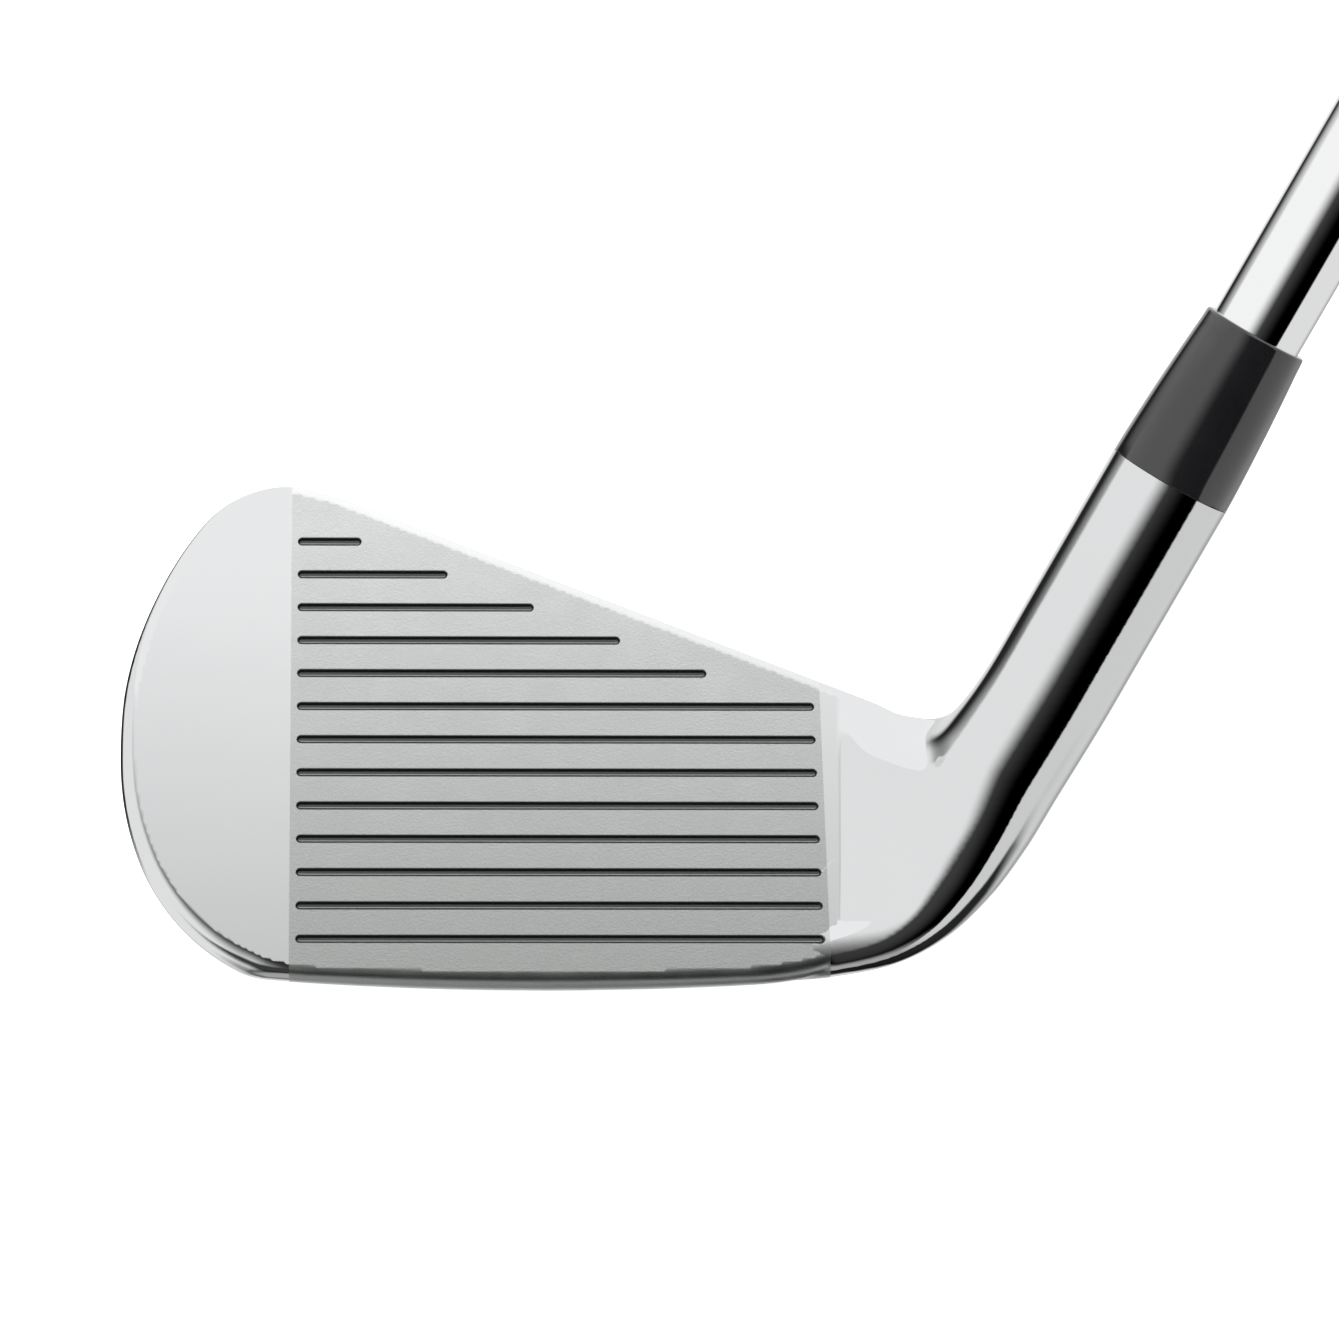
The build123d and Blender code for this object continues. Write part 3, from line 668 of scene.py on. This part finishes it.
def groove_cutters():
    solids = []
    for i in range(GROOVE_COUNT):
        row = GROOVE_LOWEST + i * GROOVE_PITCH
        if i < GROOVE_COUNT - SHORT_GROOVES:
            heel = GROOVE_HEEL_X + GROOVE_HEEL_LEAN * (row - GROOVE_LOWEST)
        else:
            heel = (row + GROOVE_TOPLINE_GAP - TOPLINE_HEIGHT) / TOPLINE_SLOPE
        half = GROOVE_WIDTH / 2
        profile = (
            (half + 0.3, -0.6), (half, 0.0), (half * 0.9, 0.06),
            (half * 0.5, GROOVE_DEPTH - 0.05), (half * 0.3, GROOVE_DEPTH),
        )
        rings = [stadium(GROOVE_TOE_X, heel, row, h, depth) for h, depth in profile]
        points, faces = rings_to_solid(rings)
        solids.append((face_to_frame(points), [face[::-1] for face in faces]))
    return solids


def round_cutter(centre, direction, radius, length, segments=BORE_SEGMENTS):
    """Cylinder that starts at the centre and goes along the direction."""
    direction = Vector(direction).normalized()
    side = direction.orthogonal().normalized()
    other = direction.cross(side)
    rings = []
    for distance in (0.0, length):
        ring = []
        for i in range(segments):
            turn = 2 * math.pi * i / segments
            point = Vector(centre) + direction * distance
            ring.append((point + side * radius * math.cos(turn) + other * radius * math.sin(turn)) * MM)
        rings.append(ring)
    return rings_to_solid(rings)


def top_cutter():
    """Takes off what the hosel has above its top."""
    return round_cutter(on_axis(HOSEL_TOP), AXIS, 2 * HOSEL_RADIUS, 2 * HOSEL_SPARE)


def drill_cutters():
    """Bore of the hosel and the two weights' bores, each starting outside the head."""
    above = 2.0
    solids = [round_cutter(on_axis(HOSEL_TOP + above), -AXIS, BORE_RADIUS, BORE_DEPTH + above)]
    for x in WEIGHT_X:
        slope_y, slope_z = back_line(x)
        outward = Vector((0, slope_z, -slope_y))
        mouth_y = TRAILING[0] + (WEIGHT_HEIGHT - TRAILING[1]) * slope_y / slope_z
        start = Vector((x, mouth_y, WEIGHT_HEIGHT)) + outward * above
        solids.append(round_cutter(start, -outward, WEIGHT_RADIUS, WEIGHT_DEPTH + above, WEIGHT_SEGMENTS))
    return solids


def cut_with(piece, solids):
    """Exact boolean difference with all the solids at once."""
    points = []
    faces = []
    for solid_points, solid_faces in solids:
        faces += [tuple(i + len(points) for i in face) for face in solid_faces]
        points += [tuple(p) for p in solid_points]
    cutter = new_object("cutter", points, faces)
    step = piece.modifiers.new("cut", "BOOLEAN")
    step.operation = "DIFFERENCE"
    step.solver = "EXACT"
    step.object = cutter
    graph = bpy.context.evaluated_depsgraph_get()
    cut = bpy.data.meshes.new_from_object(piece.evaluated_get(graph))
    piece.modifiers.clear()
    piece.data = cut
    bpy.data.objects.remove(cutter)


def build_head():
    points, quads = carve(head_field, GRID_LOW, GRID_HIGH, VOXEL)
    points = settle(head_field, np.array(points, float), VOXEL)
    piece = new_object("forged_head", face_to_frame(points), quads)
    merge_face_plane(piece.data, points)
    cut_with(piece, [top_cutter()])
    cut_with(piece, groove_cutters() + drill_cutters())
    piece.data.name = "forged_head"
    shade(piece.data)
    step = piece.modifiers.new("normals", "WEIGHTED_NORMAL")
    step.keep_sharp = True
    step.weight = 50
    return piece


# ---- turned pieces ----
def turned(name, profile, segments=TURNED_SEGMENTS, pattern=None):
    """Closed mesh turned round the shaft's axis from a closed loop of (radius, distance) points."""
    across = Vector((math.sin(LIE), 0, -math.cos(LIE)))
    side = AXIS.cross(across)
    turn = np.arange(segments) * 2 * math.pi / segments
    radius = np.array([p[0] for p in profile], float)[:, None] * np.ones(segments)
    distance = np.array([p[1] for p in profile], float)[:, None] * np.ones(segments)
    if pattern:
        radius = radius + pattern(radius, distance, turn[None, :] * np.ones(radius.shape))
    ring = np.cos(turn)[None, :, None] * np.array(across) + np.sin(turn)[None, :, None] * np.array(side)
    points = np.array(on_axis(0.0)) + distance[..., None] * np.array(AXIS) + radius[..., None] * ring
    count = len(profile)
    low = np.arange(count * segments).reshape(count, segments)
    high = np.roll(low, -1, axis=0)
    corners = [low, high, np.roll(high, -1, axis=1), np.roll(low, -1, axis=1)]
    faces = np.stack(corners, axis=-1).reshape(-1, 4)
    piece = new_object(name, points.reshape(-1, 3) * MM, faces)
    shade(piece.data)
    return piece


def rounded_corner(before, corner, after, radius, steps=5):
    """Points that round one corner of a profile."""
    before, corner, after = [Vector(p) for p in (before, corner, after)]
    start = corner + (before - corner).normalized() * radius
    end = corner + (after - corner).normalized() * radius
    points = []
    for i in range(steps + 1):
        t = i / steps
        points.append(tuple(start * (1 - t) ** 2 + corner * 2 * t * (1 - t) + end * t ** 2))
    return points


def loop_with_round_corners(corners):
    """Closed profile from (radius, distance, rounding) corners."""
    points = []
    count = len(corners)
    for i, (r, s, rounding) in enumerate(corners):
        if rounding:
            points += rounded_corner(corners[i - 1][:2], (r, s), corners[(i + 1) % count][:2], rounding)
        else:
            points.append((r, s))
    return points


def shaft_steps():
    """(radius, distance) up the outside of the shaft above the ferrule."""
    points = []
    growth = (SHAFT_RADIUS_BUTT - SHAFT_RADIUS_LOW) / STEP_COUNT
    for step in range(STEP_COUNT):
        at = STEP_FIRST + step * STEP_LENGTH
        low = SHAFT_RADIUS_LOW + growth * step
        foot = (low, at)
        head = (low + growth, at + STEP_BLEND)
        points += rounded_corner((low, at - STEP_LEAD), foot, head, STEP_ROUND, 4)
        points += rounded_corner(foot, head, (low + growth, at + STEP_TRAIL), STEP_ROUND, 4)
    return points


def shaft_radius(distance):
    points = [(SHAFT_RADIUS_LOW, 0.0)] + shaft_steps() + [(SHAFT_RADIUS_BUTT, CLUB_LENGTH)]
    return float(np.interp(distance, [s for _, s in points], [r for r, _ in points]))


def build_shaft():
    outside = [(TIP_RADIUS, TIP_START), (TIP_RADIUS, HOSEL_TOP), (SHAFT_RADIUS_LOW, FERRULE_TOP)]
    outside += [(SHAFT_RADIUS_LOW, s) for s in SHAFT_RINGS]
    outside += shaft_steps() + [(SHAFT_RADIUS_BUTT, SHAFT_END)]
    inside = [(radius - SHAFT_WALL, distance) for radius, distance in reversed(outside)]
    return turned("stepped_shaft", outside + inside)


def build_ferrule():
    height = FERRULE_TOP - HOSEL_TOP - FERRULE_ENDS
    side = []
    for i in range(1, FERRULE_STEPS):
        t = i / FERRULE_STEPS
        straight = between(FERRULE_BASE_RADIUS, FERRULE_TOP_RADIUS, t)
        side.append((straight + FERRULE_SWELL * 4 * t * (1 - t), HOSEL_TOP + FERRULE_FOOT + height * t))
    inner_foot = (TIP_RADIUS, HOSEL_TOP)
    inner_top = (SHAFT_RADIUS_LOW, FERRULE_TOP)
    foot = rounded_corner(inner_foot, (FERRULE_BASE_RADIUS, HOSEL_TOP), side[0], FERRULE_FOOT_ROUND, 4)
    top = rounded_corner(side[-1], (FERRULE_TOP_RADIUS, FERRULE_TOP), inner_top, FERRULE_TOP_ROUND, 6)
    return turned("ferrule_collar", [inner_foot] + foot + side + top + [inner_top])


def build_band():
    end = GRIP_START - BAND_GAP
    start = end - BAND_LENGTH
    stops = [start] + [s for _, s in shaft_steps() if start < s < end] + [end]
    inner = [(shaft_radius(s), s) for s in stops]
    outer = [(shaft_radius(s) + BAND_THICKNESS, s) for s in reversed(stops)]
    return turned("shaft_label_band", inner + outer)


def grip_pattern(radius, distance, turn):
    """Moulded relief: two sets of slanting channels between plain rings, and ribs at both ends."""
    depth = np.zeros(radius.shape)
    around = turn / (2 * math.pi) * GRIP_LANES
    for slant in (1.0, -1.0):
        phase = (around * slant + distance / GRIP_CELL) % 1.0
        depth += GRIP_RELIEF * smoothstep(1.0 - np.abs(phase - 0.5) / GRIP_CHANNEL)
    from_mouth = smoothstep((distance - GRIP_START - GRIP_PLAIN_END) / GRIP_PLAIN_EASE)
    from_cap = smoothstep((SHAFT_END - GRIP_PLAIN_END - distance) / GRIP_PLAIN_EASE)
    depth = np.minimum(depth, GRIP_RELIEF) * from_mouth * from_cap
    from_ring = np.abs((distance - GRIP_START) % GRIP_RING_PITCH - GRIP_RING_PITCH / 2)
    depth *= 1.0 - smoothstep(1.0 - from_ring / GRIP_RING_HALF)
    last_ribs = SHAFT_END - GRIP_RIB_INSET - (GRIP_RIB_COUNT - 1) * GRIP_RIB_PITCH
    for start in (GRIP_START + GRIP_RIB_INSET, last_ribs):
        for i in range(GRIP_RIB_COUNT):
            from_rib = np.abs(distance - (start + i * GRIP_RIB_PITCH + GRIP_RIB_HALF))
            depth = np.maximum(depth, GRIP_RIB_DEPTH * smoothstep(1.3 - from_rib / GRIP_RIB_HALF))
    return -depth * (radius > GRIP_MOUTH_RADIUS - 0.5)


def grip_radius(distance):
    return between(GRIP_MOUTH_RADIUS, GRIP_BUTT_RADIUS, (distance - GRIP_START) / GRIP_LENGTH)


def tape_radius(distance):
    return shaft_radius(distance) + GRIP_TAPE_THICKNESS


def build_grip():
    """The inside is the tape's outside, and the bare shaft's below the tape."""
    start = GRIP_START + GRIP_MOUTH_ROUND
    rises = [start + (SHAFT_END - start) * i / GRIP_ROWS for i in range(GRIP_ROWS + 1)]
    outer = [(grip_radius(s), s) for s in rises]
    mouth = rounded_corner((shaft_radius(GRIP_START), GRIP_START), (GRIP_MOUTH_RADIUS, GRIP_START),
                           outer[1], GRIP_MOUTH_ROUND)
    tape_start = GRIP_START + GRIP_TAPE_INSET
    stops = [SHAFT_END] + [s for _, s in reversed(shaft_steps()) if s > tape_start] + [tape_start]
    inside = [(tape_radius(s), s) for s in stops]
    inside += [(shaft_radius(s), s) for s in (tape_start, GRIP_START)]
    return turned("grip_sleeve_rubber", mouth + outer[1:] + inside, GRIP_SEGMENTS, grip_pattern)


def build_cap():
    """The top is dished round a raised rim at the vent."""
    profile = loop_with_round_corners([
        (VENT_RADIUS, SHAFT_END, 0),
        (grip_radius(SHAFT_END), SHAFT_END, 0),
        (CAP_RADIUS, SHAFT_END + CAP_BEVEL, 0.5),
        (CAP_RADIUS, CLUB_LENGTH - CAP_SHOULDER, 1.0),
        (CAP_RADIUS - CAP_BEVEL, CLUB_LENGTH - CAP_BEVEL, 0.7),
        (CAP_RADIUS - CAP_SHOULDER, CLUB_LENGTH, 0.8),
        (9.6, CLUB_LENGTH, 0.3),
        (9.2, CLUB_LENGTH - 0.5, 0.3),
        (3.6, CLUB_LENGTH - 0.9, 0.3),
        (3.2, CLUB_LENGTH - 0.3, 0.2),
        (VENT_RADIUS, CLUB_LENGTH - 0.3, 0.3),
    ])
    return turned("grip_cap_rubber", profile)


# ---- materials ----
class Nodes:
    """Short names for building a node tree."""

    def node(self, kind, **settings):
        made = self.tree.nodes.new(kind)
        for key, value in settings.items():
            setattr(made, key, value)
        return made

    def link(self, value, socket):
        if isinstance(value, bpy.types.NodeSocket):
            self.tree.links.new(value, socket)
        else:
            socket.default_value = value

    def fed(self, kind, *values, **settings):
        """First output of a new node whose first inputs take the values."""
        made = self.node(kind, **settings)
        for value, socket in zip(values, made.inputs):
            self.link(value, socket)
        return made.outputs[0]

    def math(self, operation, *values):
        return self.fed("ShaderNodeMath", *values, operation=operation)

    def product(self, result, *others):
        for other in others:
            result = self.math("MULTIPLY", result, other)
        return result


class Graph(Nodes):
    """One material."""

    def __init__(self, name):
        self.material = bpy.data.materials.new(name)
        self.material.use_nodes = True
        self.tree = self.material.node_tree
        self.shader = self.tree.nodes["Principled BSDF"]
        self.place = self.node("ShaderNodeTexCoord").outputs["Object"]
        self.facing = self.node("ShaderNodeTexCoord").outputs["Normal"]

    def axis(self, name, place=None):
        split = self.node("ShaderNodeSeparateXYZ")
        self.link(place or self.place, split.inputs[0])
        return split.outputs[name]

    def ramp(self, value, low, high, to_low=0.0, to_high=1.0):
        """Straight ramp from low to high, held at its ends."""
        return self.fed("ShaderNodeMapRange", value, low, high, to_low, to_high, clamp=True)

    def stretch(self, scale, rotation=(0, 0, 0)):
        made = self.node("ShaderNodeMapping")
        self.link(self.place, made.inputs["Vector"])
        made.inputs["Rotation"].default_value = rotation
        made.inputs["Scale"].default_value = scale
        return made.outputs[0]

    def window(self, value, low, high, edge):
        """1 between low and high, falling to 0 over the edge inside them; all in mm."""
        rise = self.ramp(value, low * MM, (low + edge) * MM)
        return self.product(rise, self.ramp(value, high * MM, (high - edge) * MM))

    def spread(self, noise, low, high):
        """Value from low to high over the middle of a noise's range."""
        return self.ramp(noise, 0.3, 0.7, low, high)

    def noise(self, scale, detail=3.0, place=None):
        made = self.node("ShaderNodeTexNoise")
        self.link(place or self.place, made.inputs["Vector"])
        made.inputs["Scale"].default_value = scale
        made.inputs["Detail"].default_value = detail
        return made.outputs["Fac"]

    def mix(self, share, a, b):
        made = self.node("ShaderNodeMix", data_type="RGBA")
        self.link(share, made.inputs["Factor"])
        self.link(a, made.inputs[6])
        self.link(b, made.inputs[7])
        return made.outputs[2]

    def bump(self, height, distance, strength=1.0, under=None):
        made = self.node("ShaderNodeBump")
        made.inputs["Distance"].default_value = distance
        self.link(strength, made.inputs["Strength"])
        self.link(height, made.inputs["Height"])
        if under:
            self.link(under, made.inputs["Normal"])
        return made.outputs[0]

    def finish(self, color, roughness, metallic=0.0, normal=None, **constants):
        self.link(color, self.shader.inputs["Base Color"])
        self.link(roughness, self.shader.inputs["Roughness"])
        self.shader.inputs["Metallic"].default_value = metallic
        if normal:
            self.link(normal, self.shader.inputs["Normal"])
        for key, value in constants.items():
            self.shader.inputs[key.replace("_", " ")].default_value = value
        return self.material


def blasted_area(g, x, z, face):
    """1 on the scored part of the face between the two chrome ends, 0 elsewhere."""
    edge = BLAST_EDGE * MM
    toe = g.ramp(x, BLAST_TOE_X * MM - edge, BLAST_TOE_X * MM + edge)
    heel_x = g.math("MULTIPLY_ADD", z, BLAST_HEEL_LEAN, BLAST_HEEL_X * MM)
    heel = g.ramp(g.math("SUBTRACT", heel_x, x), -edge, edge)
    back = FACE_Y + BLAST_DEPTH
    front = g.ramp(face, (back + BLAST_DEPTH_EDGE) * MM, back * MM)
    return g.product(toe, heel, front)


def groove_area(g, x, z, face):
    """1 in the grooves, behind the face and away from the rounded rim: where the grooves' grey and the
    painted shade on their walls go.
    """
    slope = TOPLINE_SLOPE * math.cos(LOFT)
    topline = g.math("MULTIPLY_ADD", x, slope, TOPLINE_HEIGHT * math.cos(LOFT) * MM)
    below = g.math("SUBTRACT", topline, z)
    inside = g.product(g.ramp(below, (SCORED_TOP_GAP - SCORED_EDGE) * MM, SCORED_TOP_GAP * MM),
                       g.ramp(z, (SCORED_FROM - SCORED_EDGE) * MM, SCORED_FROM * MM))
    low, high = SCORED_DEPTH
    return g.product(g.ramp(face, (FACE_Y + low) * MM, (FACE_Y + high) * MM), inside)


def blasted_color(g, grit, x, z, face):
    """Pale steel, with painted shade that darkens it towards the sole, and near black painted shade on the
    grooves' walls where they look down.
    """
    # painted shade: the blasted steel is darkened from high on the face down to the sole
    low = g.ramp(z, PAINTED_SHADE_TOP * MM, 0.0)
    dark = g.mix(low, (0.78, 0.79, 0.785, 1), (0.45, 0.47, 0.455, 1))
    light = g.mix(low, (0.91, 0.92, 0.915, 1), (0.60, 0.625, 0.605, 1))
    # painted shade: groove walls that face downward are painted near black, standing in for the grooves'
    # own shadow
    painted_wall_shade = g.ramp(g.axis("Z", g.facing), 0.3, 0.75)
    groove = g.mix(painted_wall_shade, (0.05, 0.05, 0.052, 1), (0.52, 0.53, 0.52, 1))
    return g.mix(groove_area(g, x, z, face), g.mix(grit, dark, light), groove)


def head_chrome():
    """Polished chrome with a blasted band across the scored part of the face."""
    g = Graph("head_chrome")
    x = g.axis("X")
    z = g.axis("Z")
    face = g.math("MULTIPLY_ADD", z, -math.tan(LOFT), g.axis("Y"))
    band = blasted_area(g, x, z, face)
    grit = g.noise(5200, 2.0)
    cloud = g.noise(60)
    polish = g.noise(900, 2.0, g.stretch((1.0, 1.0, 0.04)))
    chrome = g.mix(cloud, (0.675, 0.68, 0.685, 1), (0.705, 0.71, 0.715, 1))
    color = g.mix(band, chrome, blasted_color(g, grit, x, z, face))
    smooth = g.spread(cloud, 0.035, 0.06)
    rough = g.spread(g.noise(300, 2.0), 0.30, 0.36)
    roughness = g.math("ADD", g.product(smooth, g.math("SUBTRACT", 1.0, band)), g.product(rough, band))
    fine = g.bump(polish, 0.000002, 0.15)
    normal = g.bump(grit, 0.00006, g.product(band, 0.2), fine)
    return g.finish(color, roughness, 1.0, normal)


def shaft_chrome():
    g = Graph("shaft_chrome")
    cloud = g.noise(45)
    color = g.mix(cloud, (0.83, 0.835, 0.84, 1), (0.86, 0.862, 0.865, 1))
    drawn = g.noise(2600, 2.0, g.stretch((1.0, 1.0, 0.03), (0, math.pi / 2 - LIE, 0)))
    normal = g.bump(drawn, 0.000002, 0.2)
    return g.finish(color, g.spread(cloud, 0.03, 0.055), 1.0, normal)


def ferrule_black():
    g = Graph("ferrule_black")
    cloud = g.noise(120)
    color = g.mix(cloud, (0.004, 0.004, 0.0045, 1), (0.008, 0.008, 0.009, 1))
    wipe = g.noise(500, 2.0)
    normal = g.bump(wipe, 0.000001, 0.1)
    return g.finish(color, g.spread(wipe, 0.06, 0.1), 0.0, normal, IOR=1.6, Coat_Weight=0.5)


def grip_rubber():
    g = Graph("grip_rubber")
    grain = g.noise(2400)
    wear = g.noise(35)
    color = g.mix(wear, (0.014, 0.014, 0.015, 1), (0.028, 0.028, 0.03, 1))
    normal = g.bump(grain, 0.00008, 0.5)
    return g.finish(color, g.spread(wear, 0.62, 0.8), 0.0, normal)


def cap_rubber():
    g = Graph("cap_rubber")
    grain = g.noise(3200, 2.0)
    scuff = g.noise(160, 4.0)
    color = g.mix(g.ramp(scuff, 0.52, 0.68), (0.014, 0.014, 0.015, 1), (0.045, 0.045, 0.047, 1))
    normal = g.bump(grain, 0.00004, 0.4)
    return g.finish(color, g.spread(scuff, 0.45, 0.65), 0.0, normal)


def weight_metal():
    """Satin tungsten with faint turning rings."""
    g = Graph("weight_metal")
    turning = g.noise(1800, 2.0, g.stretch((1.0, 0.1, 1.0)))
    color = g.mix(turning, (0.20, 0.20, 0.215, 1), (0.31, 0.31, 0.325, 1))
    normal = g.bump(turning, 0.00001, 0.4)
    return g.finish(color, g.spread(turning, 0.28, 0.42), 1.0, normal)


def badge_metal():
    """Brushed aluminium with a plain dark inlay."""
    g = Graph("badge_metal")
    brush = g.noise(2200, 3.0, g.stretch((0.03, 1.0, 1.0)))
    inlay = g.window(g.axis("Z"), *INLAY, PRINT_EDGE)
    bright = g.mix(brush, (0.46, 0.47, 0.49, 1), (0.62, 0.63, 0.65, 1))
    dark = g.mix(brush, (0.02, 0.021, 0.024, 1), (0.035, 0.036, 0.04, 1))
    normal = g.bump(brush, 0.00001, 0.5)
    return g.finish(g.mix(inlay, bright, dark), g.spread(brush, 0.22, 0.36), 0.9, normal)


def band_film():
    """Plain dark printed band with a thin light line near each end."""
    g = Graph("band_film")
    along = g.math("ADD", g.product(g.math("SUBTRACT", g.axis("X"), AXIS_X * MM), math.cos(LIE)),
                   g.product(g.axis("Z"), math.sin(LIE)))
    middle = (GRIP_START - BAND_GAP - BAND_LENGTH / 2) * MM
    away = g.math("ABSOLUTE", g.math("SUBTRACT", along, middle))
    line = g.window(away, *BAND_LINE, PRINT_EDGE)
    print_grain = g.noise(1500, 2.0)
    dark = g.mix(print_grain, (0.028, 0.03, 0.036, 1), (0.04, 0.042, 0.05, 1))
    light = g.mix(print_grain, (0.55, 0.56, 0.58, 1), (0.62, 0.63, 0.65, 1))
    return g.finish(g.mix(line, dark, light), g.spread(print_grain, 0.12, 0.2), 0.0,
                    g.bump(print_grain, 0.000004, 0.3), Coat_Weight=0.4)


def hidden_filler(name, dark, light, roughness, metallic):
    """Plain grained material for what is sealed inside the club."""
    g = Graph(name)
    grain = g.noise(900)
    return g.finish(g.mix(grain, dark, light), g.spread(grain, roughness, roughness + 0.15), metallic,
                    g.bump(grain, 0.00003, 0.3))


# ---- studio ----
def floor_material():
    g = Graph("studio_paper")
    fibre = g.noise(700)
    material = g.finish(g.mix(fibre, (0.90, 0.90, 0.90, 1), (0.93, 0.93, 0.93, 1)), 0.9, 0.0,
                        g.bump(fibre, 0.00005, 0.1))
    g.shader.inputs["Emission Color"].default_value = WHITE
    g.shader.inputs["Emission Strength"].default_value = FLOOR_GLOW
    return material


def build_floor():
    """Flat paper that fills the picture from every side."""
    reach = FLOOR_HALF_WIDTH
    corners = [(-reach, -reach, 0.0), (reach, -reach, 0.0), (reach, reach, 0.0), (-reach, reach, 0.0)]
    floor = new_object("studio_floor", corners, [(0, 1, 2, 3)])
    floor.data.materials.append(floor_material())
    floor.visible_glossy = False


class WorldGraph(Nodes):
    """Light by direction: a gradient overhead, bright panels and dark cards."""

    def __init__(self):
        world = bpy.data.worlds.new("studio")
        bpy.context.scene.world = world
        world.use_nodes = True
        self.tree = world.node_tree
        self.tree.nodes.clear()
        split = self.node("ShaderNodeSeparateXYZ")
        self.link(self.node("ShaderNodeTexCoord").outputs["Generated"], split.inputs[0])
        x, y, z = split.outputs
        self.azimuth = self.math("DEGREES", self.math("ARCTAN2", x, self.math("MULTIPLY", y, -1.0)))
        self.round_the_back = self.math("FLOORED_MODULO", self.azimuth, 360.0)
        self.elevation = self.math("DEGREES", self.math("ARCSINE", z))

    def step(self, value, middle, softness):
        """Smooth rise from 0 to 1 around the middle; a negative softness falls."""
        low, high = sorted((middle - softness / 2, middle + softness / 2))
        ends = (0.0, 1.0) if softness > 0 else (1.0, 0.0)
        return self.fed("ShaderNodeMapRange", value, low, high, *ends, interpolation_type="SMOOTHSTEP")

    def panel(self, low, high, soft_low, soft_high, bottom, top, soft, strength):
        """Brightness of one panel; one that goes past 180 degrees is read from 0 to 360."""
        azimuth = self.round_the_back if high > PAST_THE_BACK else self.azimuth
        across = self.product(self.step(azimuth, low, soft_low), self.step(azimuth, high, -soft_high))
        up = self.product(self.step(self.elevation, bottom, soft), self.step(self.elevation, top, -soft))
        return self.product(across, up, strength)

    def finish(self, studio):
        """The camera sees plain white past the paper; everything else sees the studio."""
        lit = self.fed("ShaderNodeBackground", WHITE, studio)
        plain = self.fed("ShaderNodeBackground", WHITE, 1.0)
        seen = self.node("ShaderNodeLightPath").outputs["Is Camera Ray"]
        output = self.node("ShaderNodeOutputWorld")
        self.link(self.fed("ShaderNodeMixShader", seen, lit, plain), output.inputs[0])


def build_studio():
    """Room brightness by direction, as the polished head and shaft mirror it."""
    g = WorldGraph()
    above = g.math("SUBTRACT", g.elevation, SKY_FROM)
    room = g.math("MINIMUM", g.product(g.math("MAXIMUM", above, 0.0), SKY_RISE), SKY_LIMIT)
    for panel in PANELS:
        room = g.math("MAXIMUM", room, g.panel(*panel))
    for card in CARDS:
        room = g.product(room, g.math("SUBTRACT", 1.0, g.panel(*card)))
    g.finish(room)


def build_lamps():
    """Soft lamps for the paper and the rubber; the polished steel doesn't mirror them."""
    for name, place, size, power in LAMPS:
        light = bpy.data.lights.new(name, "AREA")
        light.shape = "DISK"
        light.size = size
        light.energy = power
        lamp = bpy.data.objects.new(name, light)
        bpy.context.scene.collection.objects.link(lamp)
        lamp.location = place
        aim = Vector(LAMP_AIM) - lamp.location
        lamp.rotation_euler = aim.to_track_quat("-Z", "Y").to_euler()
        lamp.visible_glossy = False


def build_camera():
    azimuth = math.radians(CAMERA_AZIMUTH)
    elevation = math.radians(CAMERA_ELEVATION)
    level = math.cos(elevation)
    back = Vector((math.sin(azimuth) * level, -math.cos(azimuth) * level, math.sin(elevation)))
    right = (-back).cross(Vector((0, 0, 1))).normalized()
    up = right.cross(-back)
    roll = math.radians(CAMERA_ROLL)
    tilted_right = right * math.cos(roll) + up * math.sin(roll)
    tilted_up = up * math.cos(roll) - right * math.sin(roll)
    turn = Matrix((tilted_right, tilted_up, back)).transposed().to_4x4()
    camera = bpy.data.objects.new("camera", bpy.data.cameras.new("camera"))
    bpy.context.scene.collection.objects.link(camera)
    place = (Vector(CAMERA_TARGET) + back * CAMERA_DISTANCE) * MM
    camera.matrix_world = Matrix.Translation(place) @ turn
    camera.data.lens = CAMERA_LENS
    camera.data.sensor_width = CAMERA_SENSOR
    camera.data.clip_start = 0.01
    camera.data.clip_end = 50.0
    bpy.context.scene.camera = camera
    bpy.context.scene.view_settings.view_transform = "Standard"


# ---- assembly ----
def paint(piece, material):
    piece.data.materials.clear()
    piece.data.materials.append(material)


def dress(piece, material, slot, *replaced):
    paint(piece, material)
    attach(piece, "root")
    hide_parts(*replaced)


def paint_kept_nodes():
    tungsten = weight_metal()
    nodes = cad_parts
    paint(nodes["toe_weight"], tungsten)
    paint(nodes["heel_weight"], tungsten)
    paint(nodes["cavity_badge"], badge_metal())
    for node, *look in HIDDEN:
        paint(nodes[node], hidden_filler(*look))


def build_club():
    dress(build_head(), head_chrome(), "head_chrome", "head_body")
    dress(build_ferrule(), ferrule_black(), "ferrule_black", "ferrule")
    dress(build_shaft(), shaft_chrome(), "shaft_chrome", "shaft")
    dress(build_band(), band_film(), "band_film", "shaft_band")
    dress(build_grip(), grip_rubber(), "grip_rubber", "grip_sleeve")
    dress(build_cap(), cap_rubber(), "cap_rubber", "grip_cap")
    paint_kept_nodes()


build_camera()
build_club()
build_floor()
build_studio()
build_lamps()
